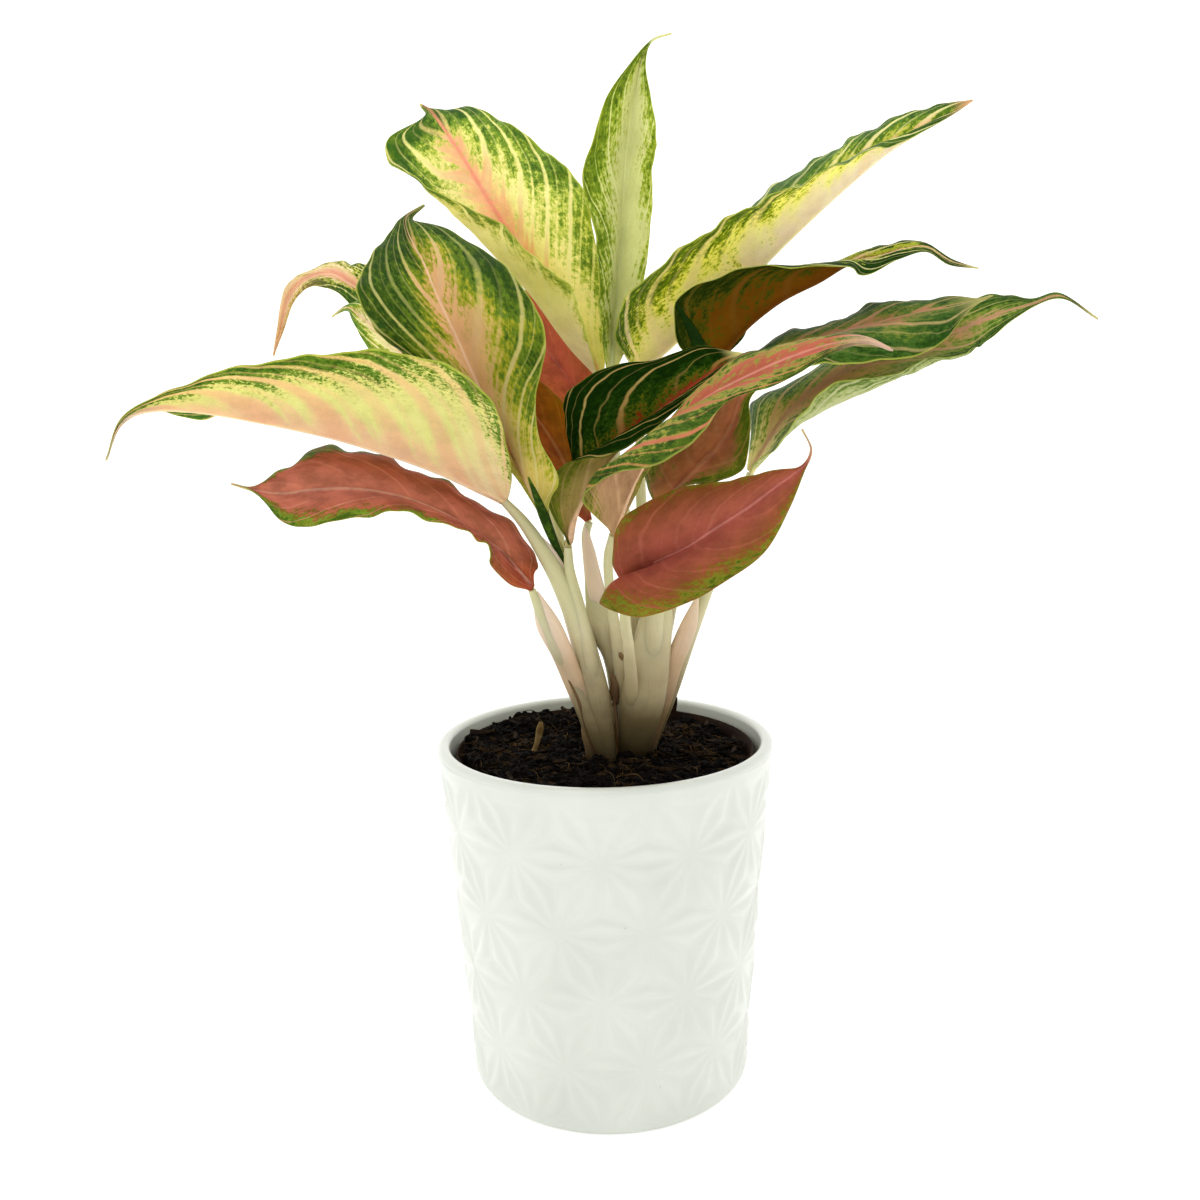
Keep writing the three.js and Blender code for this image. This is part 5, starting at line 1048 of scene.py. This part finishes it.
def leafSkin(name, look, seed, length):
    # A fresh leaf is thin and waxy: light comes through it, and its face has a soft sheen
    material, tree = newMaterial(name)
    lines = addNode(tree, "ShaderNodeUVMap", {"uv_map": "veinLines"})
    spread = addNode(tree, "ShaderNodeUVMap", {"uv_map": "spread"})
    line = addNode(tree, "ShaderNodeSeparateXYZ", {"Vector": lines}).outputs
    spot = addNode(tree, "ShaderNodeSeparateXYZ", {"Vector": spread}).outputs
    vein, half = line["X"], line["Y"]  # mm along the rib to this vein's foot, and -1 to 1 over the leaf
    down, reach = spot["X"], spot["Y"]  # mm along the leaf, and mm from its rib
    # What repeats here, by mode: the node, its setting, the inputs that it takes and its result
    modes = {"SMOOTHSTEP": ("ShaderNodeMapRange", "interpolation_type", (0, 1, 2, 3, 4), 0),
             "RGBA": ("ShaderNodeMix", "data_type", (0, 6, 7), 2)}
    arithmetic = ("ShaderNodeMath", "operation", (0, 1, 2), 0)

    def add(mode, *inputs):
        kind, setting, slots, result = modes.get(mode, arithmetic)
        return addNode(tree, kind, {setting: mode, **dict(zip(slots, inputs))}).outputs[result]

    def grain(layer, runs=down, size=1.0):
        alongScale, acrossScale, detail, roughness, shift = leafGrain[layer]
        at = addNode(tree, "ShaderNodeCombineXYZ", {"X": add("MULTIPLY", runs, alongScale / size),
                                                    "Y": add("MULTIPLY", reach, acrossScale / size),
                                                    "Z": seed * 3.1 + shift})
        return addNode(tree, "ShaderNodeTexNoise", {"Scale": 1.0, "Detail": detail, "Roughness": roughness,
                                                    "Vector": at}).outputs["Fac"]

    def swing(pattern, amount):  # a pattern of 0 to 1 moved to lie round zero
        return add("MULTIPLY", add("SUBTRACT", pattern, 0.5), amount)

    out = add("ABSOLUTE", half)
    share = add("DIVIDE", down, length)
    flecks, patches, blur = grain("flecks", size=look["fleck"]), grain("patches"), grain("blur")
    streaks = grain("streaks", vein)

    # Veins: the distance in mm to the nearest line, narrower where the lines crowd at the margin
    def veinLines(offset, breadth, drift, strength):
        wandering = add("ADD", vein, swing(patches, look["wander"]))
        turn = add("ADD", add("DIVIDE", wandering, look["veinGap"]), offset)
        off = add("ABSOLUTE", add("SUBTRACT", add("FRACT", turn), 0.5))
        off = add("ADD", add("MULTIPLY", off, look["veinGap"]), swing(blur, drift))
        off = add("DIVIDE", off, add("MULTIPLY_ADD", out, -look["veinTaper"], 1.25))
        luck = addNode(tree, "ShaderNodeTexWhiteNoise", {"noise_dimensions": "1D",
                                                         "W": add("ADD", add("FLOOR", turn), seed)})
        width = look["veinBand"] * breadth
        drawn = add("SMOOTHSTEP", off, width * 0.2, width, 1.0, 0.0)
        drawn = add("MULTIPLY", drawn, add("MULTIPLY_ADD", luck, 0.55, 0.45))
        return add("MULTIPLY", drawn, strength)

    band = add("MAXIMUM", veinLines(*veinsDrawn["main"]), veinLines(*veinsDrawn["side"]))

    # Green flecks
    begin = add("SMOOTHSTEP", half, -0.2, 0.2, *look["greenFrom"])
    amount = add("MULTIPLY", add("SUBTRACT", out, begin), look["greenGain"])
    for pattern, weight in zip((flecks, streaks, patches, share), ("speckle", "streak", "patch", "tipGreen")):
        amount = add("ADD", amount, swing(pattern, look[weight]))
    amount = add("ADD", amount, add("SMOOTHSTEP", share, 0.8, 0.96, 0.0, look["crown"]))
    amount = add("SUBTRACT", amount, add("MULTIPLY", band, look["veinCut"]))
    amount = add("SUBTRACT", amount, add("SMOOTHSTEP", share, 0.0, 0.05, 1.5, 0.0))
    feather = add("ADD", add("ADD", out, swing(streaks, 0.5)), add("MULTIPLY", band, -0.22))
    dark = add("ADD", add("MINIMUM", amount, 0.75), swing(grain("darkness"), 1.6))

    # The rib narrows towards the tip and fades in at the foot and out at the tip
    ribHalf = add("MULTIPLY_ADD", share, -0.7 * look["ribWidth"], look["ribWidth"])
    ribShare = add("DIVIDE", add("ABSOLUTE", reach), ribHalf)
    rib = add("SUBTRACT", 1.0, add("SMOOTHSTEP", ribShare, 0.35, 1.0))
    rib = add("MULTIPLY", rib, add("SMOOTHSTEP", share, 0.0, 0.05))
    rib = add("MULTIPLY", rib, add("SMOOTHSTEP", share, 0.86, 0.98, 0.85, 0.3))

    # Laid over each other: blush, foot, flecks, pale veins pinker by the rib, rib, pale margin and dry tip
    blushed = add("SMOOTHSTEP", feather, look["blushReach"] * 0.2, look["blushReach"] * 1.8)
    colour = add("RGBA", blushed, look["blush"], look["field"])
    colour = add("RGBA", add("SMOOTHSTEP", share, 0.02, 0.24), look["foot"], colour)
    veinTint = add("RGBA", add("SMOOTHSTEP", out, 0.05, 0.5), look["veinRib"], look["vein"])
    for cover, tint in (
            (add("SMOOTHSTEP", amount, -0.42, -0.02), look["light"]),
            (add("SMOOTHSTEP", amount, -0.06, 0.26), look["green"]),
            (add("SMOOTHSTEP", dark, 0.25, 0.85), look["deep"]),
            (add("MULTIPLY", band, look["veinShow"]), veinTint),
            (rib, look["midrib"]),
            (add("SMOOTHSTEP", out, 0.97, 0.995, 0.0, 0.7), look["edge"]),
            (add("SMOOTHSTEP", share, look["tipFrom"], 1.0, 0.0, 0.8), look["tip"])):
        colour = add("RGBA", cover, colour, tint)
    tone = add("SMOOTHSTEP", grain("tone"), 0.25, 0.75, 0.92, 1.05)
    cloud = add("SMOOTHSTEP", grain("cloud"), 0.34, 0.62, 1 - look["mottle"], 1 + look["mottle"] * 0.3)
    colour = addNode(tree, "ShaderNodeVectorMath",
                     {"operation": "SCALE", 0: colour, "Scale": add("MULTIPLY", tone, cloud)})

    cells = add("ADD", add("MULTIPLY", grain("cells"), 0.5), add("MULTIPLY", band, -0.6))
    rough = add("SMOOTHSTEP", flecks, 0.3, 0.7, look["gloss"] - 0.04, look["gloss"] + 0.08)
    finishTree(tree, colour, cells, 0.35, 0.0003,
               {"IOR": 1.42, "Specular IOR Level": look["shine"], "Subsurface Weight": look["glow"],
                "Subsurface Radius": (0.003, 0.003, 0.001), "Subsurface Scale": 1.0, "Roughness": rough})
    return material


def makeBlade(name, blade, build, seed):
    shares = np.linspace(0, 1, build["rows"] + 1)
    rib = smoothLine(place(blade["rib"]), shares)
    along = unit(np.gradient(rib, axis=0))
    length = lengthAlong(rib)
    margins = [smoothLine(place(blade[side]), shares) for side in ("left", "right")]
    width = np.linalg.norm(margins[1] - margins[0], axis=1)
    side = unit(margins[1] - margins[0])
    for i in range(1, len(side)):  # where the blade closes to a point, keep the last row's direction
        if width[i] < 2 * build["narrowest"]:
            side[i] = side[i - 1]
    columns = build["halfColumns"]
    grid = np.zeros((len(shares), 2 * columns + 1, 3))
    for margin, outward, cup, fold in zip(margins, (-1, 1), blade["cup"], ("leftFold", "rightFold")):
        tight = np.linalg.norm(margin - rib, axis=1) < build["narrowest"]
        margin[tight] = rib[tight] + outward * build["narrowest"] * side[tight]
        reach = (margin - rib) * outward
        upper = unit(np.cross(reach, along))
        bulge = cup * np.linalg.norm(reach, axis=1) / build["cupWidth"]
        bend = (rib + margin) / 2 + upper * bulge[:, None]
        if fold in blade:
            bend = smoothLine(place(blade[fold]), shares)
        control = 2 * bend - (rib + margin) / 2
        for j in range(columns + 1):
            v = j / columns
            grid[:, columns + outward * j] = (1 - v) ** 2 * rib + 2 * v * (1 - v) * control + v * v * margin

    half = np.linspace(-1, 1, 2 * columns + 1)[None, :] * np.ones((len(shares), 1))
    out = np.abs(half)
    steps = np.linalg.norm(np.diff(grid, axis=1), axis=2)
    reach = np.zeros(half.shape)
    reach[:, columns + 1:] = np.cumsum(steps[:, columns:], axis=1)
    reach[:, :columns] = -np.cumsum(steps[:, :columns][:, ::-1], axis=1)[:, ::-1]
    total, length = length[-1], length[:, None]
    vein = length - blade["sweep"] * total * (0.5 * out + 0.5 * out ** 2)
    (sway, swayLength), (tremor, tremorLength) = build["veinSway"], build["veinTremor"]
    vein = vein + sway * np.sin(vein / swayLength + seed * 3 + 2 * np.sign(half))
    vein = vein + tremor * np.sin(reach / tremorLength + seed * 2)
    gap = blade["upper"]["veinGap"]
    line = np.exp(-((np.abs(vein / gap % 1 - 0.5) * gap) / build["pleatWidth"]) ** 2)

    def normals(points):
        return unit(np.cross(np.gradient(points, axis=1), np.gradient(points, axis=0)))

    # Margins wave, and each vein lies in a shallow valley of the upper face
    room = (np.clip(width / build["rippleFullWidth"], 0, 1) * np.sin(math.pi * shares) ** 0.6)[:, None]
    turns = 2 * math.pi * length / build["rippleLength"]
    wave = np.sin(turns + seed * 1.7 + np.sign(half) * 1.1)
    wave = wave + 0.5 * np.sin(turns / build["rippleShort"] + seed)
    lift = blade["ripple"] * wave * out ** 3 - build["pleat"] * line * (1 - out) * (out > 0.02)
    for _ in range(blade.get("soften", build["soften"])):  # a leaf bends over its rib in a soft valley
        grid[:, 1:-1] = (grid[:, :-2] + 2 * grid[:, 1:-1] + grid[:, 2:]) / 4
    grid = grid + normals(grid) * (lift * room)[..., None]
    normal = normals(grid)
    thick = build["thickness"] + (build["edgeThickness"] - build["thickness"]) * out ** 4
    ribRise = build["ribRiseTip"] + build["ribRise"] * (1 - shares[:, None]) ** 1.4
    ridge = ribRise * np.exp(-(reach / (build["ribWidth"] * (1.1 - 0.7 * shares[:, None]))) ** 2)
    ridge = ridge * np.clip(width / build["ribFullWidth"], 0.15, 1)[:, None]
    top = grid + normal * (thick / 2)[..., None]
    under = grid - normal * (thick / 2 + ridge)[..., None]

    rows, wide = half.shape
    points = list(top.reshape(-1, 3)) + list(under.reshape(-1, 3))
    count = rows * wide
    faces, skins = [], []
    for i in range(rows - 1):
        for j in range(wide - 1):
            a = i * wide + j
            faces += [(a, a + 1, a + wide + 1, a + wide),
                      (count + a, count + a + wide, count + a + wide + 1, count + a + 1)]
            skins += [0, 1]
    for a in range(0, (rows - 1) * wide, wide):
        b = a + wide
        faces += [(a, b, count + b, count + a), (b - 1, count + b - 1, count + b + wide - 1, b + wide - 1)]
    for a in range(wide - 1):
        b = (rows - 1) * wide + a
        faces += [(a, count + a, count + a + 1, a + 1), (b, b + 1, count + b + 1, count + b)]
    skins += [0] * (len(faces) - len(skins))
    ones = np.ones(half.shape)
    veinUv, spreadUv = (list(np.tile(np.stack((u * ones, v), -1).reshape(-1, 2), (2, 1)))
                        for u, v in ((vein, half), (length, reach)))
    for roll in blade.get("rolls", ()):  # a stretch of margin rolled into a narrow sleeve
        spots, quads, uv = stemTube(roll, build["rollSides"], build["rollRings"], build["rollFlat"])
        faces += shifted(quads, len(points))
        points += spots
        skins += [2] * len(quads)
        veinUv += [(u, build["rollOut"]) for u, v in uv]
        spreadUv += [(u, build["rollReach"] + v) for u, v in uv]
    first, *rest = name.split("_")
    title = first + "".join(word.title() for word in rest)
    looks = {"Upper": blade["upper"], "Under": blade["under"]}
    if "rolls" in blade:  # the rolled margin is green all over
        looks["Margin"] = {**blade["upper"], "greenFrom": (-1.2, -1.2), "veinShow": 0, "veinCut": 0,
                           "edge": blade["upper"]["green"]}
    faceSkins = [leafSkin(title + face, look, seed, total) for face, look in looks.items()]
    piece = newPiece(title, points, faces, faceSkins, skins, sharp=70)
    paintUv(piece, "veinLines", veinUv)
    paintUv(piece, "spread", spreadUv)
    finished(piece, blade["slot"], name)


print("leaf blades")
for number, (name, blade) in enumerate(blades.items()):
    makeBlade(name, blade, bladeBuild, number * bladeBuild["seedStep"])

# A pale floor, a bright soft surround and the camera
staging = {
    "floorRadius": 30, "floor": "#FAFAF8", "white": "#FFFFFF", "floorGlow": 0.22,
    "frontLight": 0.74, "backLight": 1.4, "key": 7.0, "keyPlace": (-0.5, -1.1, 1.8), "keySize": 1.2,
    "keyAim": (0, 0, 0.25), "sensor": 36,
}


def makeStage(look):
    plaster, tree = newMaterial("paintedFloor")  # a white table, lit a little from below
    where = addNode(tree, "ShaderNodeTexCoord").outputs["Object"]
    grain = addNode(tree, "ShaderNodeTexNoise", {"Scale": 300.0, "Vector": where})
    bump = addNode(tree, "ShaderNodeBump", {"Strength": 0.02, "Height": grain})
    shader = addNode(tree, "ShaderNodeBsdfPrincipled",
                     {"Base Color": look["floor"], "Roughness": 0.9, "Emission Color": look["white"],
                      "Emission Strength": look["floorGlow"], "Normal": bump})
    addNode(tree, "ShaderNodeOutputMaterial", {"Surface": shader})
    build = bmesh.new()
    bmesh.ops.create_circle(build, cap_ends=True, segments=96, radius=look["floorRadius"])
    mesh = meshOf("floor", build)
    mesh.materials.append(plaster)
    floor = newObject("floor", mesh)

    world = bpy.data.worlds.new("whiteStudio")
    world.use_nodes = True
    tree = world.node_tree
    tree.nodes.clear()
    where = addNode(tree, "ShaderNodeTexCoord").outputs["Generated"]
    split = addNode(tree, "ShaderNodeSeparateXYZ", {"Vector": where}).outputs
    glow = addNode(tree, "ShaderNodeMapRange",
                   {"interpolation_type": "SMOOTHSTEP", "From Min": -0.9, "From Max": 0.35,
                    "To Min": look["frontLight"], "To Max": look["backLight"], "Value": split["Y"]})
    sky = addNode(tree, "ShaderNodeBackground", {"Color": look["white"], "Strength": glow})
    addNode(tree, "ShaderNodeOutputWorld", {"Surface": sky})
    scene.world = world

    lamp = bpy.data.lights.new("softbox", "AREA")
    lamp.energy, lamp.size = look["key"], look["keySize"]
    light = newObject("softbox", lamp)
    light.location = look["keyPlace"]
    light.rotation_euler = (Vector(look["keyAim"]) - light.location).to_track_quat("-Z", "Y").to_euler()

    camera = bpy.data.cameras.new("camera")
    camera.sensor_width, camera.lens = look["sensor"], look["sensor"] * view["focalPx"] / view["framePx"]
    camera.clip_start, camera.clip_end = 0.01, 100
    seat = newObject("camera", camera)
    axes = Matrix((across, upward, -forward)).transposed()
    seat.matrix_world = Matrix.Translation(Vector(view["point"]) * mm) @ axes.to_4x4()
    scene.camera = seat
    scene.view_settings.view_transform = "Standard"


print("stage")
makeStage(staging)
